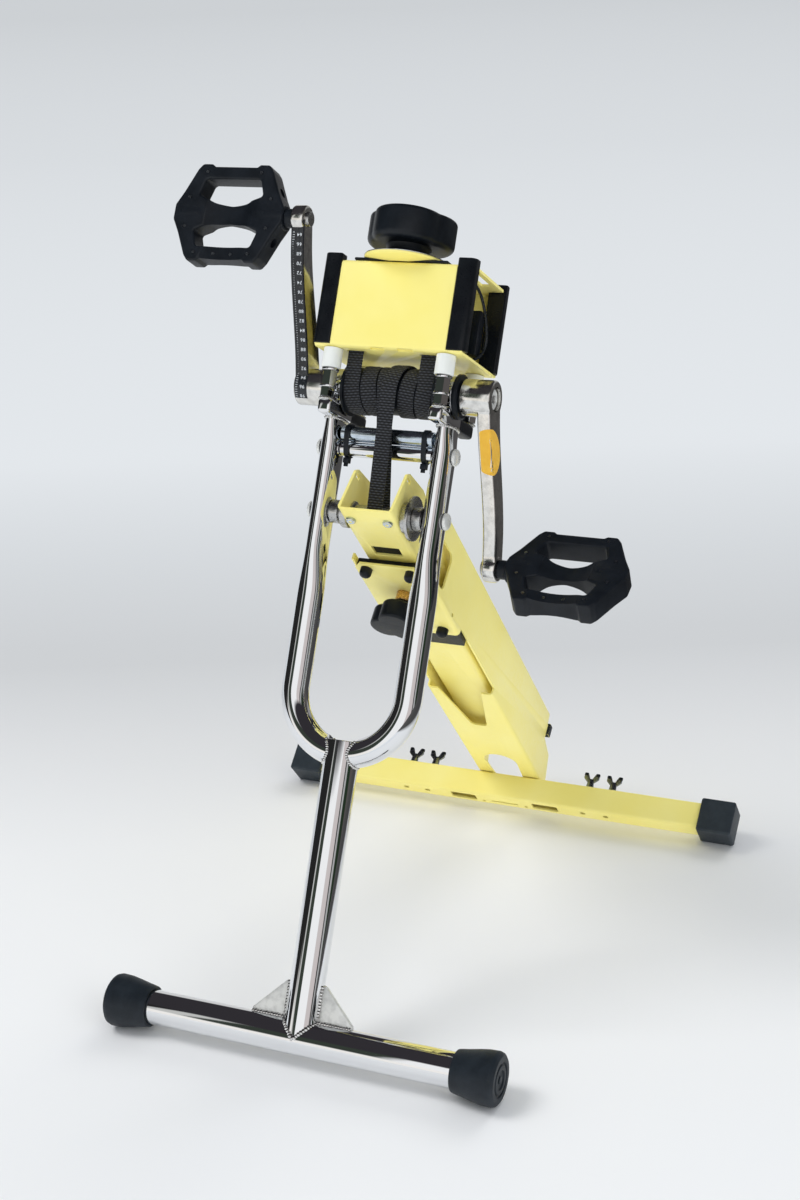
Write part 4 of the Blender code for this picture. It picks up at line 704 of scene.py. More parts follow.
def swept_leg(sides=64, step=4 * MM):
    bend = [math.radians(a) for a in range(-84, 0, 3)]
    centres = [(Vector((LEG_X * math.cos(a), 0, BEND_Z + LEG_X * math.sin(a))),
                Vector((math.cos(a), 0, math.sin(a)))) for a in bend]
    heights = [BEND_Z + i * step for i in range(int((LEG_TOP - BEND_Z) / step) + 1)] + [LEG_TOP]
    centres += [(Vector((LEG_X, 0, height)), Vector((1, 0, 0))) for height in heights]
    loops = []
    for centre, out in centres:
        wide, deep = leg_half_widths(centre.z)
        loops.append([centre + out * wide * math.cos(t) + Vector((0, deep * math.sin(t), 0))
                      for t in circle(sides)])
    return mesh_of(skinned(loops), "leg")


fork_leg = cut(swept_leg(), rod("Z", TUBE_R - 0.05 * MM, 200 * MM, 300 * MM, sides=FINE, edge=0))
pair("fork_tube", fork_leg, chrome, "frame", FORK, "fork_leg", angle=50, slot="chrome")
print("fork legs:", len(fork_leg.vertices), "vertices each")

# %% [markdown]
# The fork is held together by welds, and the chrome goes over them. A bead follows each seam: round the
# foot of the post, along the gussets, where the legs meet the post, and round the tops of the legs and the
# studs.

# %% Weld beads
STUDS = {"front": -29.0 * MM, "rear": 46.0 * MM}


def oval(x, y, wide, deep, height, turns):
    return [(x + wide * math.cos(t), y + deep * math.sin(t), height) for t in turns]


def seams():
    """Each seam: its points, whether it closes on itself and the radius of its beads."""
    turns = [math.radians(a) for a in range(0, 360, 5)]
    yield [(TUBE_R * math.cos(t), TUBE_R * math.sin(t), TUBE_R * abs(math.cos(t)))
           for t in turns], True, 2.1 * MM
    for sign in (-1, 1):
        for y in mm((-2.8, 2.8)):
            yield [(sign * x * MM, y, TUBE_R) for x in (18, 30, 47)], False, 2.1 * MM
            yield [(sign * TUBE_R, y, z * MM) for z in (20, 34, 47)], False, 2.1 * MM
        joint = []
        for t in turns:
            reach, y = LEG_X + LEG_R * math.cos(t), LEG_R * math.sin(t)
            turn = -math.acos(math.sqrt(TUBE_R ** 2 - y ** 2) / reach)
            joint.append(Vector((sign * reach * math.cos(turn), y, BEND_Z + reach * math.sin(turn))))
        low = [point for point in joint[36:] + joint[:36] if point.z < POST_TOP]
        yield low, len(low) == len(joint), 1.7 * MM
        yield oval(sign * LEG_X, 0, 8.3 * MM, 16.9 * MM, 552.6 * MM, turns), True, 1.5 * MM
        for y in STUDS.values():
            yield oval(sign * LEG_X, y, 6.2 * MM, 6.2 * MM, 566.2 * MM, turns[::3]), True, 1.2 * MM


runs = [grown(beads, path_of(points, closed), weld_chrome, Radius=radius, Spacing=1.25 * radius)
        for points, closed, radius in seams()]
welds = joined(*runs)
piece("weld_beads", welds, weld_chrome, "frame", FORK, angle=80, slot="chrome")
print(len(runs), "seams,", len(welds.polygons), "faces")

# %% [markdown]
# Between the legs run a chromed spacer tube, a zinc tube tied on top of it and the axle that the rear leg
# folds on. All three are rings turned about the X axis; the bolts that hold them show only their button
# heads with a hexagon socket, which is cut by a boolean.

# %% Cross tubes, axle and bolts
CROSS_HALF, BORE_R = LEG_X - PRESSED_X - GAP, 3.3 * MM
GUARD_R, GUARD_Y = 7.0 * MM, -3 * MM
GUARD_Z = SPACER_Z + math.sqrt((SPACER_R + GUARD_R + GAP) ** 2 - GUARD_Y ** 2)
for name, stands_for, finish, outer, bore, y, z, edge in (
        ("spacer_tube_bright", "spacer_tube", chrome, SPACER_R, BORE_R, 0, SPACER_Z, 0.4 * MM),
        ("guard_tube_zinc", "guard_tube", zinc, GUARD_R, 5.5 * MM, GUARD_Y, GUARD_Z, 0.5 * MM),
        ("axle_tube", "pivot_axle", steel, AXLE_R, BORE_R, 0, PIVOT_Z, 0.4 * MM)):
    tube = ring("X", outer, bore, -CROSS_HALF, CROSS_HALF, (0, y, z), edge=edge)
    slot = {chrome: "chrome", zinc: "zinc", steel: "steel"}[finish]
    piece(name, tube, finish, "frame", FORK, [stands_for], slot=slot)
hub_from = 36.3 * MM + GAP
hub = ring("X", 10.8 * MM, AXLE_R + GAP, hub_from, CROSS_HALF, (0, 0, PIVOT_Z))
pair("axle_hub", hub, steel, "frame", FORK, "pivot_spacer", slot="chrome")


def button_head(height):
    seat, radius, rise, rim = LEG_X + PRESSED_X + GAP, 7.8 * MM, 4.8 * MM, 1.0 * MM
    dome = [(radius * math.cos(t), seat + rim + (rise - rim) * math.sin(t))
            for t in (math.radians(a) for a in range(0, 90, 9))]
    shank = [(0, seat - 8 * MM), (3.0 * MM, seat - 8 * MM), (3.0 * MM, seat), (radius, seat)]
    head = turned("X", shank + dome + [(0, seat + rise)], (0, 0, height), sides=64, edge=0)
    top = seat + rise
    return cut(head, rod("X", 2.3 * MM, top - 1.7 * MM, top + 3 * MM, (0, 0, height), sides=6, edge=0))


for where, height in (("pivot", PIVOT_Z), ("spacer", SPACER_Z)):
    pair(f"button_bolt_{where}", button_head(height), satin, "frame", FORK, f"{where}_bolt", slot="chrome")
print("cross tubes are", round(2 * CROSS_HALF * 1000, 1), "mm between the legs")

# %% [markdown]
# A cable tie is a thin strap, a square lock and a cut tail. The strap goes round both tubes in a shape like
# a running track; the lock sits below, at the front of the spacer.

# %% Cable ties
def tie_loop(extra, count=16):
    lean = math.atan2(-GUARD_Y, GUARD_Z - SPACER_Z)
    points = []
    for y, z, radius, start in ((GUARD_Y, GUARD_Z, GUARD_R, lean), (0, SPACER_Z, SPACER_R, lean + math.pi)):
        for i in range(count + 1):
            turn = start + math.pi * i / count
            points.append((y + (radius + extra) * math.cos(turn), z + (radius + extra) * math.sin(turn)))
    return points


def cable_tie():
    inner_loop, outer_loop = tie_loop(GAP), tie_loop(GAP + 1.3 * MM)
    low, high = 35.7 * MM, 40.3 * MM
    shape = bmesh.new()
    rows = [[shape.verts.new((x, y, z)) for y, z in loop] for x, loop in
            ((low, outer_loop), (high, outer_loop), (high, inner_loop), (low, inner_loop))]
    for first, second in zip(rows, rows[1:] + rows[:1]):
        for i in range(len(first)):
            j = (i + 1) % len(first)
            shape.faces.new((first[i], first[j], second[j], second[i]))
    lock = block((35.0, -4.5, -13.4), (41.0, 1.0, -8.4), 0.6)
    tail = block((35.9, -3.4, -16.5), (40.1, -2.2, -13.0), 0.3)
    for part in (lock, tail):
        part.transform(Matrix.Translation((0, 0, SPACER_Z)))
    return joined(mesh_of(shape, "strap"), lock, tail)


pair("tie", cable_tie(), moulded, "frame", FORK, "cable_tie", slot="resin")

# %% [markdown]
# On top of each leg a welded bar carries the crank's bearing housing and two studs. The studs have a plain
# hexagon nut, a flanged nut and washers, and white nylon bushings hold the head off them.

# %% Bearing saddles and studs
HOUSING_IN, HOUSING_OUT = 46.5 * MM, 60.5 * MM
SADDLE_Z, SADDLE_HIGH = 553.0 * MM, 13.0 * MM
BUSHING_LOW, HEAD_LOW = 594.5 * MM, 613.0 * MM
STUD_TOP, NUT_R, WASHER = 621 * MM, 7.2 * MM, 2.2 * MM
CRANK_AT = (0, 0, CRANK_Z)


def hexagon_nut(low, high, at):
    narrow, wide = NUT_R - 1.3 * MM, NUT_R + 1.4 * MM
    cone = [(0, low - 1 * MM), (narrow, low - 1 * MM), (wide, low + 1.2 * MM), (wide, high - 1.2 * MM),
            (narrow, high + 1 * MM), (0, high + 1 * MM)]
    return combined("INTERSECT", rod("Z", NUT_R, low, high, at, sides=6, edge=0),
                    turned("Z", cone, at, sides=48, edge=0))


def stud_stack(y):
    at = (LEG_X, y, 0)
    low, top = SADDLE_Z + SADDLE_HIGH, BUSHING_LOW - GAP
    first = low + 2 * MM
    second = first + 10.7 * MM
    stud = turned("Z", [(0, low - 1.5 * MM), (6.4 * MM, low - 1.5 * MM), (4.8 * MM, first),
                        (3.9 * MM, first + 0.6 * MM), (3.9 * MM, STUD_TOP), (0, STUD_TOP)], at, sides=40)
    washers = [ring("Z", 7.9 * MM, 3.6 * MM, height - WASHER, height, at) for height in (second, top)]
    return joined(stud, *washers, hexagon_nut(first, first + 8.5 * MM, at),
                  hexagon_nut(second, top - WASHER, at))


bar_low = (LEG_X - 8 * MM, STUDS["front"] - 6 * MM, SADDLE_Z)
bar_high = (HOUSING_OUT, 50 * MM, SADDLE_Z + SADDLE_HIGH)
bar = box(bar_low, bar_high, 3.2 * MM, 4)
whole = cut(bar, rod("X", 16.2 * MM, HOUSING_IN - 5 * MM, HOUSING_OUT + 5 * MM, CRANK_AT, edge=0))
front = cut(whole.copy(), block((0, 14, 500), (90, 90, 700), 0))
rear = cut(whole.copy(), block((0, -90, 500), (90, 14, 700), 0))
shell = ring("X", 18.5 * MM, 15.8 * MM, HOUSING_IN, HOUSING_OUT, CRANK_AT, edge=0.8 * MM)
saddle = joined(front, shell, *[stud_stack(y) for y in STUDS.values()])
pair("saddle_rear", rear, moulded, "frame", FORK, slot="chrome")
pair("saddle", saddle, chrome, "frame", FORK, "bearing_saddle", slot="chrome")
races = [ring("X", outer * MM, bore * MM, HOUSING_IN + inset * MM, HOUSING_OUT - inset * MM, CRANK_AT)
         for outer, bore, inset in ((15.5, 13.2, 1), (13.2, 10.6, 1.6), (10.6, 8.8, 1))]
pair("bearing", joined(*races), steel, "frame", FORK, "crank_bearing", slot="steel")
cover = turned("X", [(10.5 * MM, HOUSING_OUT + GAP), (20.5 * MM, HOUSING_OUT + GAP)]
               + mm([(20.5, 64.2), (18.8, 65.4), (13.0, 65.4), (12.4, 64.6), (10.5, 64.6)]), CRANK_AT)
pair("cover", cover, moulded, "frame", FORK, "dust_cover", slot="rubber")
for end, y in STUDS.items():
    low, high = BUSHING_LOW, HEAD_LOW - GAP
    profile = [(4.3 * MM, low), (8.2 * MM, low), (8.8 * MM, low + 0.9 * MM), (8.8 * MM, high),
               (4.3 * MM, high)]
    bushing = turned("Z", profile, (LEG_X, y, 0))
    pair(f"bushing_{end}", bushing, nylon, "frame", FORK, f"head_bushing_{end}", slot="nylon")
print("two saddles with", 2 * len(STUDS), "studs")

# %% [markdown]
# ## The head
# The head is one folded sheet: its faces come from the solid, with the punched edges rounded and a cut-out
# in its top. Black rubber strips cover its four corners, each with a flat face and a round outer edge. Black
# plates inside, behind the front panel and along the bottom, are painted shade that makes the inside look
# dark; the plate under the disc is partly a black part and partly painted shade under the disc. The block
# and the cord loop inside are what the open side lets one see.

# %% Head, lining, strips and tension bar
STRIP_LOW, STRIP_TOP, STRIP_IN, STRIP_OUT = 616.0 * MM, 699.5 * MM, 56.4 * MM, 73.9 * MM
opening = block((56.5, -20, 684), (66.5, 27, 700), 0)
opening.transform(FORK)
head = cut(softened("head_shell", 0.55 * MM, 3), opening)
piece("head_sheet", head, powder, "frame", None, ["head_shell"], slot="yellow")
# Painted shade: the first two plates darken the inside of the head; the third, under the disc, is partly
# painted shade. The last block is a black part seen inside.
shade_plates_and_block = joined(block((-52, -34.3, 615.9), (54, -32.6, 688), 0.3),
                block((-50, -33.0, 616.0), (50, 10, 617.2), 0.3),
                block((-45.5, -35, 694.3), (45.5, 2, 696.9), 1.1, 3),
                block((50, 22, 626), (62, 34, 668), 1.5, 3))
piece("head_shade_plates_and_block", shade_plates_and_block, moulded, "frame", FORK, slot="rubber")


def wire(points, radius):
    drawn = bpy.data.curves.new("wire", "CURVE")
    drawn.dimensions, drawn.bevel_depth, drawn.bevel_resolution, drawn.use_fill_caps = "3D", radius, 4, True
    spline = drawn.splines.new("NURBS")
    spline.points.add(len(points) - 1)
    for point, at in zip(spline.points, points):
        point.co = (*at, 1)
    spline.order_u, spline.resolution_u, spline.use_endpoint_u = 4, 8, True
    return baked(linked("wire", drawn))


loop = wire(mm([(60, -14, 688), (64, -2, 684), (66, 12, 674), (66.5, 24, 660),
                (66.5, 32, 646), (66, 34, 636), (64, 28, 624), (58, 16, 619)]), 1.4 * MM)
piece("head_loop", loop, scale_film, "frame", FORK, angle=60)


def corner_strip(front, back):
    """Its outline is drawn from above; the side that faces away from the bike gets the larger radius."""
    corners = [(STRIP_IN, back), (STRIP_IN, front), (STRIP_OUT - 0.2 * MM, front), (STRIP_OUT, back)]
    outline = rounded(corners, mm([0.8, 1.6, 5.5, 1.6]), 6)
    x_middle, y_middle = (STRIP_IN + STRIP_OUT) / 2, (front + back) / 2
    levels = ((STRIP_LOW, 0.5 * MM), (STRIP_LOW + 0.5 * MM, 0), (STRIP_TOP - 0.8 * MM, 0),
              (STRIP_TOP - 0.2 * MM, 0.25 * MM), (STRIP_TOP, 0.8 * MM))
    loops = [[(x - math.copysign(inset, x - x_middle), y - math.copysign(inset, y - y_middle), height)
              for x, y in outline] for height, inset in levels]
    return mesh_of(skinned(loops), "strip")


for end, (near, far) in (("front", mm((-38.3, -26.8))), ("rear", mm((58.2, 46.7)))):
    strip = corner_strip(near, far)
    pair(f"strip_{end}", strip, strip_rubber, "frame", FORK, f"corner_strip_{end}", slot="rubber")
piece("tension_bar_bright", softened("tension_bar", 0.4 * MM), steel, "frame", None, ["tension_bar"],
      slot="steel")

# %% [markdown]
# The knob that tightens the brake has three broad lobes. Its outline is three circles about the axis that
# meet in notches; rings of it, drawn in at the top and the bottom, round the edges. The yellow disc below is
# the pointer's plate, pressed from sheet, with a bright washer on top.

# %% Tension knob and disc
def lobed(radius, offset, start, lobes=3, count=144, fillet=0.05):
    """Circles set off from the axis, one for each lobe; the fillet is the share where a notch is filled."""
    def reach_at(part):
        turn, own = 2 * math.pi * part / lobes, radius - offset
        return offset * math.cos(turn) + math.sqrt(own ** 2 - (offset * math.sin(turn)) ** 2)

    outline = []
    for i, angle in enumerate(circle(count)):
        part = abs((i * lobes / count + 0.5) % 1 - 0.5)
        reach = reach_at(part)
        if part > 0.5 - fillet:
            reach = max(reach, reach_at(0.5 - fillet * 0.45))
        outline.append((reach * math.cos(start + angle), reach * math.sin(start + angle)))
    return outline


def stacked(outline, rings):
    """Rings of one outline, each at a height and drawn in by a length, closed at both ends."""
    loops = []
    for height, inset in rings:
        shares = [1 - inset / math.hypot(x, y) for x, y in outline]
        loops.append([(x * share, y * share, height) for (x, y), share in zip(outline, shares)])
    return mesh_of(skinned(loops), "stacked")


def round_over(low, high, bottom, top, count=6):
    quarter = [math.pi / 2 * i / count for i in range(count + 1)]
    rings = [(low + bottom * (1 - math.cos(t)), bottom * (1 - math.sin(t))) for t in quarter]
    return rings + [(high - top * (1 - math.sin(t)), top * (1 - math.cos(t))) for t in quarter]


KNOB = FORK @ Matrix.Translation((-2.0 * MM, -17.0 * MM, 0))
knob = stacked(lobed(41.8 * MM, 10.8 * MM, math.radians(-83)),
               round_over(712 * MM, 741 * MM, 6.5 * MM, 3.5 * MM))
neck = turned("Z", mm([(0, 700.3), (21.0, 700.3), (22.5, 701.6), (22.5, 703.2), (19.5, 705.5), (19.0, 708),
                       (22.0, 713), (0, 713)]), edge=0.6 * MM)
stem = rod("Z", 4 * MM, 644.1 * MM, 702 * MM)
piece("tension_grip", joined(knob, neck, stem), knob_black, "tension_knob", KNOB, ["tension_knob"],
      slot="resin")
disc = turned("Z", mm([(4.3, 694.6), (20.0, 694.6), (37.6, 697.2), (38.6, 698.0),
                       (38.6, 699.1), (4.3, 699.1)]), sides=FINE, edge=0.3 * MM)
washer = ring("Z", 38.9 * MM, 5 * MM, 699.2 * MM, 700.1 * MM, sides=FINE, edge=0.3 * MM)
piece("disc_washer", washer, chrome, "frame", KNOB, slot="chrome")
piece("pointer_disc", disc, powder, "frame", KNOB, ["tension_disc"], slot="yellow")
print("knob", len(knob.vertices), "vertices")

# %% [markdown]
# ## The brake band
# One length of webbing comes down from the head on the left, winds twice round the drum towards the middle,
# runs down round the fold axle and goes back up the same way on the right. Its middle line is worked out
# like a taut belt: arcs on the drum and on the axle, and straight runs between them where they touch. Rows
# of points across the band are joined to a thin closed strip, whose UV map holds the length that the weave
# follows.

# %% The band's path
DRUM_R, BAND_WIDTH, BAND_THICK, BAND_CLEAR = 20.5 * MM, 14.8 * MM, 1.5 * MM, 0.5 * MM
BAND_PITCH, BAND_LIFT, BAND_TURNS, BAND_START = 16.6 * MM, 2.6 * MM, 2, 2.15
BAND_TOP, BAND_OUT = CRANK_Z + 64 * MM, BAND_CLEAR + BAND_THICK / 2


def band_wrap(side, lift, steps=72):
    """Down from the head and round the drum; the last turn's end is lifted over the first layer."""
    radius, start = DRUM_R + BAND_OUT, BAND_START * BAND_PITCH
    path = [Vector((side * start, -radius, BAND_TOP - 2 * MM * i)) for i in range(32)]
    for i in range(steps * BAND_TURNS + 1):
        share = i / (steps * BAND_TURNS)
        angle = math.pi + 2 * math.pi * BAND_TURNS * share
        raised = radius + lift * smoothstep((share - 0.70) / 0.15)
        path.append(Vector((side * (start - BAND_PITCH * BAND_TURNS * share), raised * math.cos(angle),
                            CRANK_Z + raised * math.sin(angle))))
    return path


def tangent(first, second):
    """Where a taut band leaves one round and meets the next, each given as its centre, radius and side."""
    between = second[0] - first[0]
    reach = math.asin((first[1] * first[2] - second[1] * second[2]) / between.length)
    heading = math.atan2(between.y, between.x) - math.pi / 2 + reach
    out = Vector((math.cos(heading), math.sin(heading)))
    return first[0] + out * first[1] * first[2], second[0] + out * second[1] * second[2]


def band_run(lift, behind):
    """From the drum to the axle: the left layer bends over the spacer, the right one passes in front."""
    rounds = [(Vector((0, CRANK_Z)), DRUM_R + BAND_OUT + lift, 1)]
    if behind:
        rounds.append((Vector((0, SPACER_Z)), SPACER_R + BAND_OUT, 1))
    rounds.append((Vector((0, PIVOT_Z)), AXLE_R + BAND_OUT, -1 if behind else 1))
    return [point for both in zip(rounds, rounds[1:]) for point in tangent(*both)]


def band_path():
    radius, last = AXLE_R + BAND_OUT, (BAND_START - BAND_TURNS) * BAND_PITCH
    runs = []
    for side, lift in ((-1, 0.0), (1, BAND_LIFT)):
        points = [Vector((side * last * max(0, (height - SPACER_Z) / (CRANK_Z - SPACER_Z)), y, height))
                  for y, height in band_run(lift, behind=side < 0)]
        drawn = []
        for before, after in zip(points, points[1:]):
            count = max(1, round((after - before).length / (3 * MM)))
            drawn += [before.lerp(after, i / count) for i in range(count)]
        runs.append(band_wrap(side, lift) + drawn + [points[-1]])
    ends = [math.atan2(run[-1].z - PIVOT_Z, run[-1].y) for run in runs]
    sweep = (ends[0] - ends[1]) % (2 * math.pi)
    loop = [Vector((0, radius * math.cos(angle), PIVOT_Z + radius * math.sin(angle)))
            for angle in (ends[0] - sweep * i / 40 for i in range(1, 40))]
    return runs[0] + loop + list(reversed(runs[1]))


def band_strip(path, columns=7):
    """A closed strip: rows of points above and below the middle line, with the edges a little thinner."""
    shape = bmesh.new()
    weave = shape.loops.layers.uv.new("weave")
    shares = [j / (columns - 1) for j in range(columns)]
    rows, lengths, run = [], [], 0.0
    for i, point in enumerate(path):
        ahead = (path[min(i + 1, len(path) - 1)] - path[max(i - 1, 0)]).normalized()
        wide = (Vector((1, 0, 0)) - ahead * ahead.x).normalized()
        out = ahead.cross(wide).normalized()
        run += (point - path[i - 1]).length if i else 0
        row = []
        for share, side in [(share, 1) for share in shares] + [(share, -1) for share in reversed(shares)]:
            thin = 0.55 if share in (0, 1) else 1.0
            offset = wide * (share - 0.5) * BAND_WIDTH + out * side * thin * BAND_THICK / 2
            row.append((shape.verts.new(point + offset), share))
        rows.append(row)
        lengths.append(run)
    for i in range(len(rows) - 1):
        for j in range(len(rows[0])):
            k = (j + 1) % len(rows[0])
            corners = ((i, j), (i, k), (i + 1, k), (i + 1, j))
            face = shape.faces.new([rows[a][b][0] for a, b in corners])
            for loop, (a, b) in zip(face.loops, corners):
                loop[weave].uv = (rows[a][b][1], lengths[a])
    for row in (rows[0], rows[-1]):
        shape.faces.new([vertex for vertex, _ in row])
    return mesh_of(shape, "band"), run


band, band_length = band_strip(band_path())
piece("webbing_band", band, webbing, "frame", FORK, ["brake_band"], angle=60)
print(f"the band is {band_length * 1000:.0f} mm long")

# %% [markdown]
# ## The crank
# The spindle and drum are turned. An arm is a forging: a slab that tapers and leans outwards, joined to a
# round boss and a round eye by booleans. Slab, boss and eye each have their edges rounded beforehand.

# %% Spindle, drum and arms
BOSS_IN, BOSS_OUT, BOSS_R = 66.0 * MM, 96.5 * MM, 17.0 * MM
ARM_OUT, ARM_THICK, EDGE_R, PIN_R = 106.3 * MM, 13.0 * MM, 2.2 * MM, 6.8 * MM
SPINDLE_R, RECESS_R, RECESS_DEEP, EYE_R = 8.5 * MM, 11.2 * MM, 9.0 * MM, 12.5 * MM
DRUM_HALF, FLANGE, FLANGE_R = 43.6 * MM, 2.2 * MM, 24.5 * MM
EYE_AT = (0, 0, -CRANK_LENGTH)
spindle_end = BOSS_OUT - 7 * MM
nut = rod("X", SPINDLE_R - 1 * MM, spindle_end - 1 * MM, spindle_end + 4 * MM, sides=6, edge=0.5 * MM)
spindle = joined(rod("X", SPINDLE_R, -spindle_end, spindle_end), nut, mirrored(nut))
piece("spindle", spindle, steel, "crank", CRANK, ["crank_spindle"], slot="steel")
half_side = [(FLANGE_R, DRUM_HALF + FLANGE), (FLANGE_R, DRUM_HALF), (DRUM_R, DRUM_HALF)]
drum_side = half_side + [(radius, -x) for radius, x in reversed(half_side)]
drum_bore = [(SPINDLE_R + GAP, -DRUM_HALF - FLANGE), (SPINDLE_R + GAP, DRUM_HALF + FLANGE)]
drum = turned("X", drum_side + drum_bore, sides=FINE)
piece("drum", drum, moulded, "crank", CRANK, ["brake_drum"], slot="resin")


def arm_outer(share):
    return BOSS_OUT + (ARM_OUT - BOSS_OUT) * smoothstep(share * 1.15)


def arm_half(share):
    return 14.0 * MM + (10.0 * MM - 14.0 * MM) * share


def arm_slab(count=24):
    loops = []
    for share in (i / count for i in range(count + 1)):
        half, outer = arm_half(share) - GAP, arm_outer(share) - GAP
        section = [(outer - ARM_THICK, -half), (outer, -half), (outer, half), (outer - ARM_THICK, half)]
        loops.append([(x, y, -CRANK_LENGTH * share) for x, y in section])
    shape = skinned(loops)
    lengthways = [edge for edge in shape.edges if abs(edge.verts[0].co.z - edge.verts[1].co.z) > 1 * MM]
    round_edges(shape, lengthways, EDGE_R, 4)
    return mesh_of(shape, "slab")


def crank_arm():
    boss = rod("X", BOSS_R, BOSS_IN, BOSS_OUT, sides=72, edge=EDGE_R)
    eye = rod("X", EYE_R, ARM_OUT - ARM_THICK, ARM_OUT, EYE_AT, sides=72, edge=EDGE_R)
    return cut(united(arm_slab(), boss, eye),
               rod("X", RECESS_R, BOSS_OUT - RECESS_DEEP, BOSS_OUT + 9 * MM, sides=64, edge=0),
               rod("X", SPINDLE_R + GAP, BOSS_IN - 9 * MM, BOSS_OUT, edge=0),
               rod("X", PIN_R + GAP, ARM_OUT - 20 * MM, ARM_OUT + 9 * MM, EYE_AT, edge=0))


bolt = cut(rod("X", 9.6 * MM, BOSS_OUT - 8.6 * MM, BOSS_OUT - 2.4 * MM, edge=1 * MM),
           rod("X", 4.6 * MM, BOSS_OUT - 6.5 * MM, BOSS_OUT, sides=6, edge=0))
pair("boss_bolt", bolt, satin, "crank", CRANK, angle=40, slot="zinc")
for side, sign in SIDES.items():
    arm = crank_arm()
    if sign < 0:
        arm.transform(Matrix.Rotation(math.pi, 4, "X"))
    piece(f"arm_{side}", on_side(arm, sign), forged, "crank", CRANK, [f"crank_arm_{side}"], 40, "chrome")
print("arms are", round(CRANK_LENGTH * 1000), "mm between centres")

# %% [markdown]
# The left arm wears a black scale with white figures, from 64 at the pedal's end to 98 at the boss, upside
# down for whoever looks at it. The figures are text objects turned to mesh; the ticks beside them are
# copied along the strip by a small Geometry Nodes tree. The right arm wears an amber dot that folds round
# its front edge.

# %% Scale strip and amber dot
FILM, UNDER = 0.12 * MM, -0.3 * MM
STRIP_TOP_AT, STRIP_END_AT, ROUND_FROM = 146 * MM, 10.45 * MM, 142


def skin(rows):
    """A thin closed film from rows of points, each with the point below it."""
    loops = [[above for above, _ in row] + [below for _, below in reversed(row)] for row in rows]
    return mesh_of(skinned(loops), "skin")


def strip_stations(step=3 * MM):
    """Down the left arm's front face and round the boss. A station is the length run, the strip's middle,
    the way out, the way along and whether both edges fold."""
    stations, height = [], STRIP_TOP_AT
    while height > STRIP_END_AT:
        share = height / CRANK_LENGTH
        middle = Vector((-(arm_outer(share) - GAP - ARM_THICK / 2), -arm_half(share) + GAP, height))
        stations.append((138 * MM - height, middle, Vector((0, -1, 0)), Vector((0, 0, -1)), True))
        height -= step
    for turn in range(ROUND_FROM, 216, 6):
        t = math.radians(turn)
        out, ahead = Vector((0, math.cos(t), math.sin(t))), Vector((0, -math.sin(t), math.cos(t)))
        middle = Vector((-(BOSS_OUT - GAP - ARM_THICK / 2), 0, 0)) + out * BOSS_R
        stations.append((127.6 * MM + BOSS_R * (t - math.radians(ROUND_FROM)), middle, out, ahead, False))
    return stations


def strip_point(station, shift, lift):
    """A point of the strip's surface; shift leads across it, towards the bike's middle when positive."""
    _, middle, out, _, folded = station
    flat = ARM_THICK / 2 - EDGE_R
    turn = max(0.0, (abs(shift) - flat) / EDGE_R) if folded or shift < 0 else 0.0
    x = shift if turn == 0 else math.copysign(flat + (EDGE_R + lift) * math.sin(turn), shift)
    return middle + Vector((x, 0, 0)) + out * ((EDGE_R + lift) * math.cos(turn) - EDGE_R)


stations = strip_stations()
shifts = mm([-7.3, -6.6, -5.9, -5.1, -4.3, -2, 0, 2, 4.3, 5.1, 5.9, 6.6, 7.3])
film = skin([[(strip_point(s, shift, FILM), strip_point(s, shift, UNDER)) for shift in shifts]
             for s in stations])
piece("scale_film", film, scale_film, "crank", CRANK, angle=50)


def figure(words, size=4.5 * MM):
    drawn = bpy.data.curves.new("figure", "FONT")
    drawn.body, drawn.size, drawn.align_x, drawn.align_y = words, size, "CENTER", "CENTER"
    drawn.extrude, drawn.offset, drawn.resolution_u = 0.04 * MM, 0.015 * MM, 3
    drawn.space_character = 1.15
    return baked(linked("figure", drawn))


def station_at(run):
    first, second = next((a, b) for a, b in zip(stations, stations[1:]) if a[0] <= run <= b[0])
    share = (run - first[0]) / (second[0] - first[0])
    middle, out, ahead = (first[i].lerp(second[i], share) for i in (1, 2, 3))
    return run, middle, out.normalized(), ahead.normalized(), first[4]


figures = []
for i, number in enumerate(range(64, 100, 2)):
    station = station_at(8.6 * MM * i)
    at, out, ahead = strip_point(station, 2.6 * MM, FILM), station[2], station[3]
    figures.append(figure(str(number)))
    turn = Matrix(((-1, 0, 0, at.x), (0, ahead.y, out.y, at.y), (0, ahead.z, out.z, at.z), (0, 0, 0, 1)))
    figures[-1].transform(turn)
tick_line = path_of([strip_point(s, -3.2 * MM, FILM) for s in stations[2:]])
piece("scale_figures", joined(*figures, grown(ticks, tick_line, ink)), ink, "crank", CRANK, angle=30)


def arm_skin(shift, height, lift):
    """A point of the right arm's skin; shift runs round its front corner, from the face to the side."""
    share = -height / CRANK_LENGTH
    half, outer, quarter = arm_half(share) - GAP, arm_outer(share) - GAP, EDGE_R * math.pi / 4
    turn = -math.pi / 2 + min(max((shift + quarter) / EDGE_R, 0), math.pi / 2)
    return Vector((outer - EDGE_R + (EDGE_R + lift) * math.cos(turn) + min(shift + quarter, 0),
                   -half + EDGE_R + (EDGE_R + lift) * math.sin(turn) + max(shift - quarter, 0), height))


DOT_Z, DOT_R, DOT_FACE, DOT_SIDE = -46 * MM, 20.5 * MM, 10.4 * MM, 22 * MM
rows = []
for i in range(-14, 15):
    offset = DOT_R * math.sin(math.pi / 2 * i / 14.4)
    reach = math.sqrt(DOT_R ** 2 - offset ** 2)
    low, high = max(-reach, -DOT_FACE), min(reach, DOT_SIDE)
    rows.append([tuple(arm_skin(low + (high - low) * j / 16, DOT_Z + offset, lift) for lift in (FILM, UNDER))
                 for j in range(17)])
piece("amber_dot", skin(rows), amber, "crank", CRANK, angle=50)
print(len(figures), "figures on the scale")

# %% [markdown]
# ## Pedals
# Each pedal is a plate with two windows, drawn as a flat curve whose own bevel rounds every edge at once,
# with a barrel end on either side. Large drums shave its faces: to a waist between the barrels, and thinner
# along one outer bar. The left pedal is the right one's mirror image.

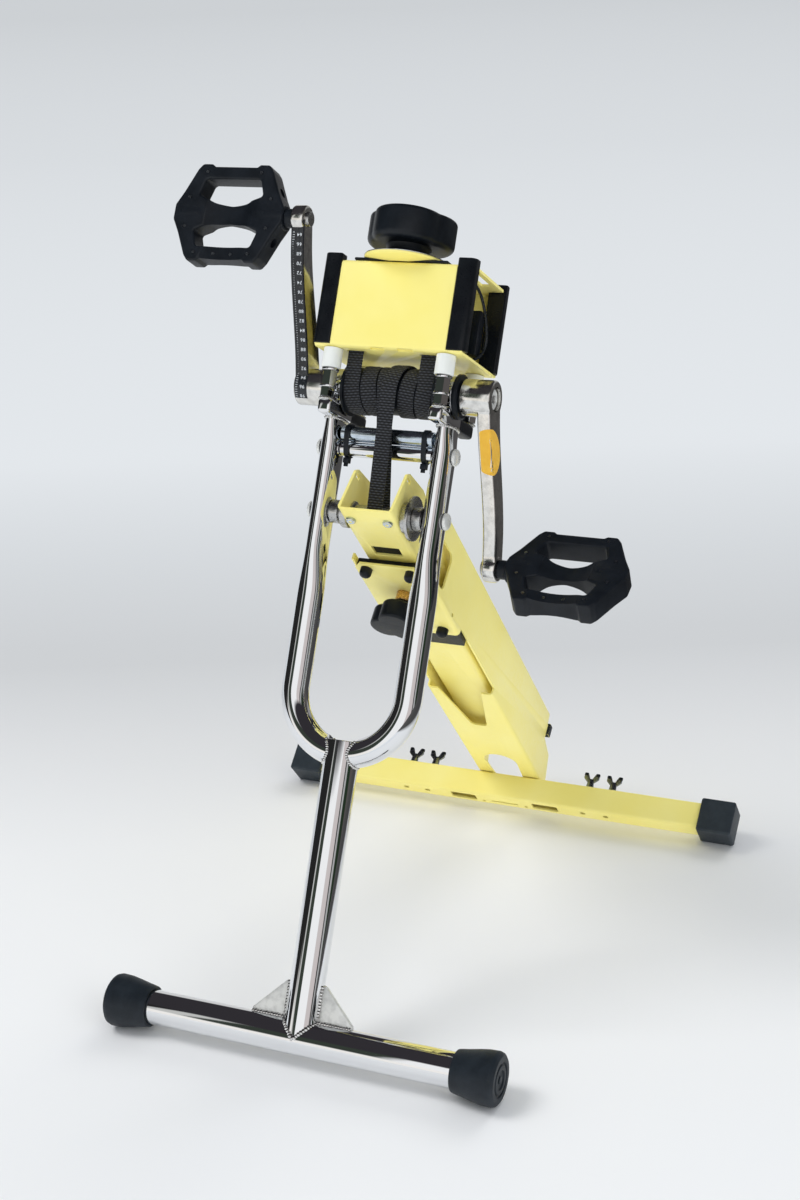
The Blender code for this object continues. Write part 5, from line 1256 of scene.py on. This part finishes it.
# %% Plates and pedals
PLANES = {"XY": Matrix.Identity(4),
          "YZ": Matrix(((0, 0, 1, 0), (1, 0, 0, 0), (0, 1, 0, 0), (0, 0, 0, 1))),
          "XZ": Matrix(((1, 0, 0, 0), (0, 0, -1, 0), (0, 1, 0, 0), (0, 0, 0, 1)))}


def plate(plane, outlines, low, high, edge=0.5 * MM, steps=2):
    """A flat plate with holes and rounded edges; low and high are its faces, across the plane."""
    drawn = bpy.data.curves.new("plate", "CURVE")
    drawn.dimensions, drawn.fill_mode = "2D", "BOTH"
    drawn.extrude = (high - low) / 2 - edge
    drawn.bevel_depth, drawn.bevel_resolution, drawn.offset = edge, steps, -edge
    for outline in outlines:
        spline = drawn.splines.new("POLY")
        spline.points.add(len(outline) - 1)
        spline.use_cyclic_u = True
        for point, (x, y) in zip(spline.points, outline):
            point.co = (x, y, 0, 1)
    shape = bmesh.new()
    shape.from_mesh(baked(linked("plate", drawn)))
    bmesh.ops.remove_doubles(shape, verts=shape.verts, dist=SAME)
    bmesh.ops.dissolve_degenerate(shape, edges=shape.edges, dist=SAME)
    mesh = mesh_of(shape, "plate")
    middle = (low + high) / 2
    mesh.transform(PLANES[plane] @ Matrix.Translation((0, 0, -middle if plane == "XZ" else middle)))
    return mesh


PEDAL_IN, PEDAL_OUT, PEDAL_HALF, PEDAL_EDGE = 115.0 * MM, 227.5 * MM, 45.5 * MM, 36.0 * MM
PEDAL_THICK, BARREL_R = 22.0 * MM, 11.0 * MM
PEDAL_MIDDLE = (PEDAL_IN + PEDAL_OUT) / 2


def pedal_outline():
    half, bulge, dip = (PEDAL_OUT - PEDAL_IN) / 2, PEDAL_HALF + 1.5 * MM, PEDAL_HALF - 1 * MM
    corner = [(half - 7 * MM, 19.5 * MM), (PEDAL_EDGE + 3 * MM, PEDAL_HALF - 4 * MM),
              (PEDAL_EDGE - 1.5 * MM, bulge), (PEDAL_EDGE - 11 * MM, bulge), (PEDAL_EDGE - 14 * MM, dip)]
    side = [(half, -7 * MM), (half, 7 * MM)] + corner + [(-x, y) for x, y in reversed(corner)]
    radii = mm([6, 6, 10, 8, 4, 2, 2, 2, 2, 4, 8, 10])
    return rounded(side + [(-x, -y) for x, y in side], radii * 2, 5)


def pedal_window():
    outline = mm([(-33, 17), (-17, 10.4), (0, 8.6), (17, 10.4), (33, 17), (28.0, 32.6), (-28.0, 32.6)])
    return rounded(outline, mm((3, 20, 20, 20, 3, 4, 4)), 5)


def pedal_body():
    window = pedal_window()
    outlines = [[(x + PEDAL_MIDDLE, y) for x, y in outline]
                for outline in (pedal_outline(), window, [(x, -y) for x, y in reversed(window)])]
    body = plate("XY", outlines, -PEDAL_THICK / 2, PEDAL_THICK / 2, 2.2 * MM, 4)
    tools = [rod("X", PIN_R + GAP, PEDAL_IN - 9 * MM, PEDAL_IN + 18 * MM, edge=0)]
    tools += [rod("X", 4.2 * MM, PEDAL_IN - 3 * MM, PEDAL_IN + 13 * MM, (0, y, 0), sides=32, edge=0)
              for y in mm((-24, 24))]
    for face in (-1, 1):
        for radius, low, high, middle, sides in ((40, -24, 24, 42.6, 144), (90, -60, -26, 97.6, 192)):
            tools.append(rod("Y", radius * MM, low * MM, high * MM, (PEDAL_MIDDLE, 0, face * middle * MM),
                             sides=sides, edge=0))
    ends = [rod("X", BARREL_R + 0.4 * MM, low, low + 20 * MM, sides=64, edge=1.2 * MM)
            for low in (PEDAL_IN, PEDAL_OUT - 26 * MM)]
    body = united(body, *ends)
    for tool in tools:
        body = cut(body, tool)
    return body


def pedal_studs():
    ends = [(x, y) for y in (-39, 39) for x in (-28, 28)] + [(x, y) for x in (-42, 42) for y in (-14, 14)]
    middles = [(x, y) for y in (-39, 39) for x in (-9, 9)]
    paths = [path_of([(PEDAL_MIDDLE + x * MM, y * MM, 0) for x, y in places]) for places in (ends, middles)]
    return joined(grown(studs, paths[0], dark_zinc), grown(studs, paths[1], dark_zinc, Length=16.6 * MM))


pin = rod("X", PIN_R, ARM_OUT - 16 * MM, PEDAL_IN + 17 * MM)
collar = ring("X", 8.8 * MM, PIN_R, ARM_OUT + GAP, PEDAL_IN - GAP, edge=0.8 * MM)
for side, sign in SIDES.items():
    for name, mesh, finish, body, solids, angle, slot in (
            ("pin_collar", collar, moulded, "crank", (), 35, "resin"),
            ("pedal_pin", pin, steel, "crank", [f"pedal_spindle_{side}"], 35, "steel"),
            ("pedal_studs", pedal_studs(), dark_zinc, f"pedal_{side}", (), 35, "steel"),
            ("platform", pedal_body(), moulded, f"pedal_{side}", [f"pedal_{side}"], 40, "resin")):
        piece(f"{name}_{side}", on_side(mesh, sign), finish, body, PEDALS[side], solids, angle, slot)
print("pedals", round((PEDAL_OUT - PEDAL_IN) * 1000, 1), "mm long")

# %% [markdown]
# ## The folding leg
# The upper and the lower channel keep their solids, with every punched edge rounded. The screws that the
# solids carry as plain pads get real heads here: flat black buttons on the lower leg, and zinc pan heads
# with a hexagon socket on the upper one.

# %% Channels, liner and bearings
UPPER_FRONT, LOWER_FRONT = -14.0 * MM, -25.4 * MM
for leg, width in (("upper", 0.6 * MM), ("lower", 0.5 * MM)):
    piece(f"{leg}_channel", softened(f"{leg}_leg", width, 3), powder, f"{leg}_leg", None, [f"{leg}_leg"],
          slot="yellow")
web = block((-33.6, -23.0, -202), (33.6, -14.5, -57.0))
flank = block((26.9, -14.6, -202), (33.6, 20, -152))
piece("liner", joined(web, flank, mirrored(flank)), moulded, "lower_leg", LEG, ["leg_liner"], slot="resin")
shade = box((-16 * MM, UPPER_FRONT + 2.8 * MM, -50 * MM), (16 * MM, UPPER_FRONT + 3.6 * MM, -31 * MM), 0)
piece("slot_shade", shade, moulded, "upper_leg", LEG, slot="resin")
sleeve = mm([(14.0, 26.7), (10.7, 26.7), (10.7, 22.4)]) + [(AXLE_R + GAP, 22.4 * MM)]
flanged = mm([(20.5, 36.3), (20.5, 33.3), (14.0, 33.3)]) + sleeve + [(AXLE_R + GAP, 36.3 * MM)]
inside = mm([(14.0, 33.0)]) + sleeve + [(AXLE_R + GAP, 33.0 * MM)]
for side, sign in SIDES.items():
    bearing = on_side(turned("X", flanged if sign > 0 else inside), sign)
    piece(f"flanged_bearing_{side}", bearing, steel, "upper_leg", LEG, [f"pivot_bearing_{side}"],
          slot="steel")


def screw_head(radius, high, dome, socket, at, sides=40):
    """A domed head that looks along -Y, with a hexagon recess if it has one."""
    arc = [(radius - min(dome * 1.4, radius * 0.94) * (1 - math.cos(t)), high - dome + dome * math.sin(t))
           for t in (math.pi / 2 * i / 6 for i in range(7))]
    mesh = turned("Z", [(0, -0.6 * MM), (radius, -0.6 * MM)] + arc + [(0, high)], sides=sides, edge=0)
    if socket:
        mesh = cut(mesh, rod("Z", socket, high - 1.6 * MM, high + 2 * MM, sides=6, edge=0))
    mesh.transform(Matrix.Translation(at) @ Matrix.Rotation(math.radians(90), 4, "X"))
    return mesh


buttons = [screw_head(5.7 * MM, 9.2 * MM, 4.2 * MM, 0, (x, LOWER_FRONT, -z))
           for x in mm((-22.4, 22.4)) for z in mm((57.4, 165))]
piece("button_screws", joined(*buttons), knob_black, "lower_leg", LEG, slot="resin")
pans = [screw_head(4.7 * MM, 2.9 * MM, 1.2 * MM, 1.8 * MM, (x, UPPER_FRONT, 13 * MM)) for x in mm((-18, 18))]
piece("pan_screws", joined(*pans), zinc, "upper_leg", LEG, slot="zinc")
guards = [block((low, 21.7, -506.0), (low + 7.8, 35.4, -496.8), 1.4, 4) for low in (-39.0, 31.2)]
piece("edge_guards", joined(*guards), rubber, "lower_leg", LEG, slot="rubber")

# %% [markdown]
# The clamp knob presses on the upper channel through a brass bush. It is a smaller brother of the tension
# knob, turned to look forwards.

# %% Clamp knob and bush
CLAMP = LEG @ Matrix.Translation(mm((3.0, -43.0, -100.0))) @ Matrix.Rotation(math.radians(90), 4, "X")
clamp = stacked(lobed(25.8 * MM, 10.2 * MM, math.radians(75), count=120),
                round_over(0, 19 * MM, 3 * MM, 2.6 * MM))
clamp_stem = rod("Z", 5 * MM, -26.1 * MM, 2 * MM)
piece("clamp_grip", joined(clamp, clamp_stem), knob_black, "clamp_knob", CLAMP, ["clamp_knob"], slot="resin")
bush = ring("Y", 7.7 * MM, 5.3 * MM, LOWER_FRONT - 9 * MM, LOWER_FRONT + 2 * MM, mm((3, 0, -100)),
            edge=0.6 * MM)
piece("clamp_brass", bush, brass, "lower_leg", LEG, ["clamp_bush"], slot="brass")

# %% [markdown]
# ## The base bar
# The square tube is drawn with its real corner radius, because the solid's chamfer would show. Slots and
# holes are cut through its front face, and the black caps slide over its ends.

# %% Base bar, caps and wing screws
BAR_TOP, BAR_DEEP, BAR_HIGH, BAR_HALF, CAP_WALL = mm((511.2, 28.8, 25.7, 254.0, 4.4))
WINGS = mm((92, 118))


def bar_box(grow, half):
    return ((-half, LOWER_FRONT - BAR_DEEP - grow - GAP, -BAR_TOP - BAR_HIGH - grow),
            (half, LOWER_FRONT - GAP + grow, -BAR_TOP + grow))


def tube_section(grow, radius):
    (_, front, low), (_, rear, high) = bar_box(grow, 0)
    return rounded([(front, low), (rear, low), (rear, high), (front, high)], radius, 6)


def base_bar():
    sections = [tube_section(0, 3.2 * MM), tube_section(-2 * MM, 1.4 * MM)]
    tube = plate("YZ", sections, -BAR_HALF, BAR_HALF, 0.3 * MM)
    front, middle = LOWER_FRONT - BAR_DEEP, -BAR_TOP - BAR_HIGH / 2
    near, far = front - 9 * MM, front + 9 * MM
    tools = []
    for sign in (-1, 1):
        low, high = sorted((sign * 33 * MM, sign * 63 * MM))
        under, over = middle - 6 * MM, middle + 7 * MM
        slot = rounded([(low, under), (high, under), (high, over), (low, over)], 2 * MM, 4)
        tools.append(plate("XZ", [slot], near, far, 0.1 * MM))
        tools.append(rod("Y", 2.0 * MM, near, far, (sign * 25 * MM, 0, middle - 5 * MM), edge=0))
        for x in WINGS:
            tools.append(rod("Y", 3.2 * MM, near, far, (sign * x, 0, middle + 1 * MM), edge=0))
            at = (sign * x, LOWER_FRONT, middle)
            tools.append(rod("Y", 2.8 * MM, -9 * MM, 9 * MM, at, edge=0))
    tools.append(box((-15.5 * MM, near, middle - 4 * MM), (15.5 * MM, far, middle - 1.5 * MM), 0))
    return cut(tube, *tools)


piece("square_tube", base_bar(), powder, "lower_leg", LEG, ["base_bar"], slot="yellow")
(_, front, low), (_, rear, high) = bar_box(CAP_WALL, 0)
cap = cut(box((221.5 * MM, front, low), (258.8 * MM, rear, high), 2.6 * MM, 6),
          box(*bar_box(GAP, BAR_HALF + GAP), 0))
pair("end_cap", cap, cap_black, "lower_leg", LEG, "base_cap", slot="rubber")
for index, x in enumerate((-WINGS[1], -WINGS[0], *WINGS), 1):
    hub = turned("Y", mm([(0, 0.3), (4.5, 0.3), (3.4, 12), (0, 12)]), sides=40, edge=0.8 * MM)
    outline = rounded(mm([(1, 6), (8.5, 13), (8.5, 19.5), (4.5, 19.5), (0.5, 11)]), mm([0, 2, 2, 1.5, 0]), 5)
    wings = plate("XY", [outline], -1.3 * MM, 1.3 * MM)
    stem = rod("Y", 2.5 * MM, -12 * MM, 3 * MM)
    where = LEG @ Matrix.Translation((x, LOWER_FRONT, -BAR_TOP - BAR_HIGH / 2))
    screw, body = joined(hub, wings, mirrored(wings), stem), f"wing_screw_{index}"
    piece(f"wing_{index}", screw, dark_zinc, body, where, [body], slot="zinc")
    tip = block((4.2, 15.6, -1.6), (8.8, 19.8, 1.6), 1.2, 3)
    piece(f"wing_tips_{index}", joined(tip, mirrored(tip)), knob_black, body, where, slot="rubber")
print("the bar is", round(2 * BAR_HALF * 1000), "mm long")

# %% [markdown]
# ## The stage
# The photograph has a pale backdrop whose tone changes with the distance from the camera, and a faint soft
# shadow under the bike. One large floor carries that gradient: painted near the bike, where it takes the
# shadow, and glowing by itself farther off. Light that bounces off it once more is made a little stronger,
# as from the white sheets a photographer lays around a product. What the chrome mirrors is drawn in the
# world: a dark ceiling, and walls of pale, dark and greenish panels round the bike, which give the tubes
# their streaks.

# %% Floor, world and lamps
AWAY, ASIDE = (-math.sin(aim), math.cos(aim), 0), (math.cos(aim), math.sin(aim), 0)
BLACK, REFLECTED_DARK, FLOOR_R, BOUNCE = (0.0, 0.0, 0.0), (0.02, 0.017, 0.015), 60, 0.46
TINT = (0.96, 1.0, 1.04)
# Tones by distance in metres: painted light and shade of a paper backdrop; the dip at 0.74 m is the painted
# shade where the paper curves up.
TONES = [(-0.6, 0.88), (0.15, 0.81), (0.74, 0.62), (1.76, 0.80), (6.5, 0.71), (18.0, 0.62)]
STAGE_TONES = [((distance + 1) / 20, tuple(tone * t for t in TINT)) for distance, tone in TONES]
PAINT_TONES = [(at, tuple(c * f for c, f in zip(colour, (1.07, 1.02, 0.98)))) for at, colour in STAGE_TONES]
FAR_TONE = STAGE_TONES[-1][1]


def ramp_of(tree, value, stops):
    made = add(tree, "ShaderNodeValToRGB", {"Fac": value})
    elements = made.color_ramp.elements
    while len(elements) < len(stops):
        elements.new(0.5)
    for element, (position, colour) in zip(elements, stops):
        element.position = position
        element.color = (*colour, 1)
    return made.outputs["Color"]


def along(tree, coords, direction):
    return add(tree, "ShaderNodeVectorMath", {0: coords, 1: direction},
               operation="DOT_PRODUCT").outputs["Value"]


def stage_floor():
    shape = bmesh.new()
    bmesh.ops.create_circle(shape, cap_ends=True, radius=FLOOR_R, segments=96)
    mesh = mesh_of(shape, "floor")
    paint, tree, shader = start_finish("stage_paint", (0.6, 0.64, 0.67), 0.0, 0.85)
    shader.inputs["Specular IOR Level"].default_value = 0.1
    coords, path = coordinates(tree), add(tree, "ShaderNodeLightPath").outputs
    distance = along(tree, coords, AWAY)
    reach = add(tree, "ShaderNodeVectorMath", {0: coords}, operation="LENGTH").outputs["Value"]
    shares = spread(tree, distance, 0.0, 1.0, -1.0, 19.0)
    lit = calc(tree, "MULTIPLY", spread(tree, distance, 1.0, 0.0, 0.45, 1.15),
               spread(tree, reach, 1.0, 0.0, 1.3, 3.2))
    glow = calc(tree, "MULTIPLY_ADD", path["Is Diffuse Ray"], BOUNCE, calc(tree, "SUBTRACT", 1.0, lit))
    far = spread(tree, reach, 0.0, 1.0, 6.0, 45.0)
    # On the floor's right side glossy rays see a near-black colour: a painted dark reflection for the
    # chrome.
    right_side = spread(tree, along(tree, coords, ASIDE), 0.0, 0.94, 0.40, 0.60)
    reflected_dark = calc(tree, "MULTIPLY", right_side, path["Is Glossy Ray"])
    matt = blend_colours(tree, lit, BLACK, ramp_of(tree, shares, PAINT_TONES))
    tint(tree, shader, reflected_dark, matt, REFLECTED_DARK)
    shining = blend_colours(tree, far, ramp_of(tree, shares, STAGE_TONES), FAR_TONE)
    tree.links.new(blend_colours(tree, reflected_dark, shining, REFLECTED_DARK), shader.inputs["Emission Color"])
    tree.links.new(glow, shader.inputs["Emission Strength"])
    mesh.materials.append(paint)
    made = linked("stage_floor", mesh)


stage_floor()
STUDIO = [(-180, -150, (0.70, 0.70, 0.70)), (-150, -68, (0.02, 0.02, 0.02)), (-68, -61, (0.60, 0.60, 0.58)),
          (-61, -38, (0.04, 0.05, 0.04)), (-38, 14, (1.0, 1.0, 1.0)), (14, 42, (0.66, 0.60, 0.59)),
          (42, 48, (0.02, 0.02, 0.02)), (48, 58, (0.45, 0.45, 0.45)), (58, 76, (0.02, 0.035, 0.02)),
          (76, 112, (0.10, 0.09, 0.085)), (112, 150, (0.30, 0.30, 0.30)), (150, 180, (0.70, 0.70, 0.70))]
SEAM, ROOF, LOW_WALL = 0.8, (0.034, 0.031, 0.036), (1.0, 0.97, 0.93)


def make_world():
    """Glossy rays see the studio, the camera sees the far floor's tone and all other rays a pale sky."""
    world = bpy.data.worlds.new("studio")
    bpy.context.scene.world = world
    world.use_nodes = True
    tree = world.node_tree
    tree.nodes.clear()
    path, coords = add(tree, "ShaderNodeLightPath").outputs, coordinates(tree, "Generated")
    ahead, aside = along(tree, coords, tuple(-v for v in AWAY)), along(tree, coords, ASIDE)
    turn = calc(tree, "ARCTAN2", aside, ahead)
    stops = []
    for low, high, colour in STUDIO:
        stops += [((low + SEAM + 180) / 360, colour), ((high - SEAM + 180) / 360, colour)]
    walls = ramp_of(tree, spread(tree, turn, 0.0, 1.0, -math.pi, math.pi), stops)
    level = add(tree, "ShaderNodeSeparateXYZ", {"Vector": coords}).outputs["Z"]
    low_wall = spread(tree, level, 1.0, 0.0, 0.20, 0.28)
    for low, high in ((-1.36, -1.26), (-0.45, -0.55)):
        low_wall = calc(tree, "MULTIPLY", low_wall, spread(tree, turn, 0.0, 1.0, low, high))
    walls = blend_colours(tree, low_wall, walls, LOW_WALL)
    height = along(tree, coords, tuple(0.15 * v for v in AWAY[:2]) + (1.0,))
    room = blend_colours(tree, spread(tree, height, 0.0, 1.0, 0.49, 0.57), walls, ROOF)
    seen = calc(tree, "MAXIMUM", path["Is Camera Ray"], path["Is Transmission Ray"])

    def background(colour, strength):
        return add(tree, "ShaderNodeBackground", {"Color": colour, "Strength": strength}).outputs[0]

    pale, mirror = background((0.62, 0.66, 0.70, 1), 0.75), background(room, 1.0)
    plain = background((*FAR_TONE, 1), 1.0)
    mix = add(tree, "ShaderNodeMixShader", {0: path["Is Glossy Ray"], 1: pale, 2: mirror}).outputs[0]
    mix = add(tree, "ShaderNodeMixShader", {0: seen, 1: mix, 2: plain}).outputs[0]
    add(tree, "ShaderNodeOutputWorld", {"Surface": mix})


make_world()


def lamp(name, at, aim_at, size, power, colour=(1, 1, 1)):
    light = bpy.data.lights.new(name, "AREA")
    light.energy, light.color = power, colour
    light.shape, light.size, light.size_y = "RECTANGLE", size, size
    made = linked(name, light)
    made.location = at
    made.rotation_euler = (Vector(aim_at) - Vector(at)).to_track_quat("-Z", "Y").to_euler()
    made.visible_glossy = False


lamp("key", (-1.9, -1.0, 3.3), (0, 0, 0.35), 1.6, 60)
lamp("fill", (2.6, -1.9, 2.0), (0, 0, 0.35), 2.0, 26, (0.95, 0.98, 1.0))
lamp("back", (0.6, 2.6, 2.6), (0, 0, 0.4), 1.8, 30)
scene = bpy.context.scene
scene.view_settings.view_transform = "Standard"

# %% [markdown]
# ## The last step
# The boxes round the solids and round the dressed bike are written down side by side, to show that the looks
# have not grown out of the part.

# %% Sizes and finish
def visual_bounds():
    low, high = Vector((1e9,) * 3), Vector((-1e9,) * 3)
    for made in bpy.context.scene.objects:
        if made.type != "MESH" or made.name == "stage_floor" or made.hide_render:
            continue
        for corner in made.data.vertices:
            at = made.matrix_world @ corner.co
            low = Vector(map(min, low, at))
            high = Vector(map(max, high, at))
    return [round(v, 5) for v in low], [round(v, 5) for v in high]


visual_low, visual_high = visual_bounds()
print("cad", [round(float(v), 4) for v in (*cad_low, *cad_high)], "visual", visual_low, visual_high)
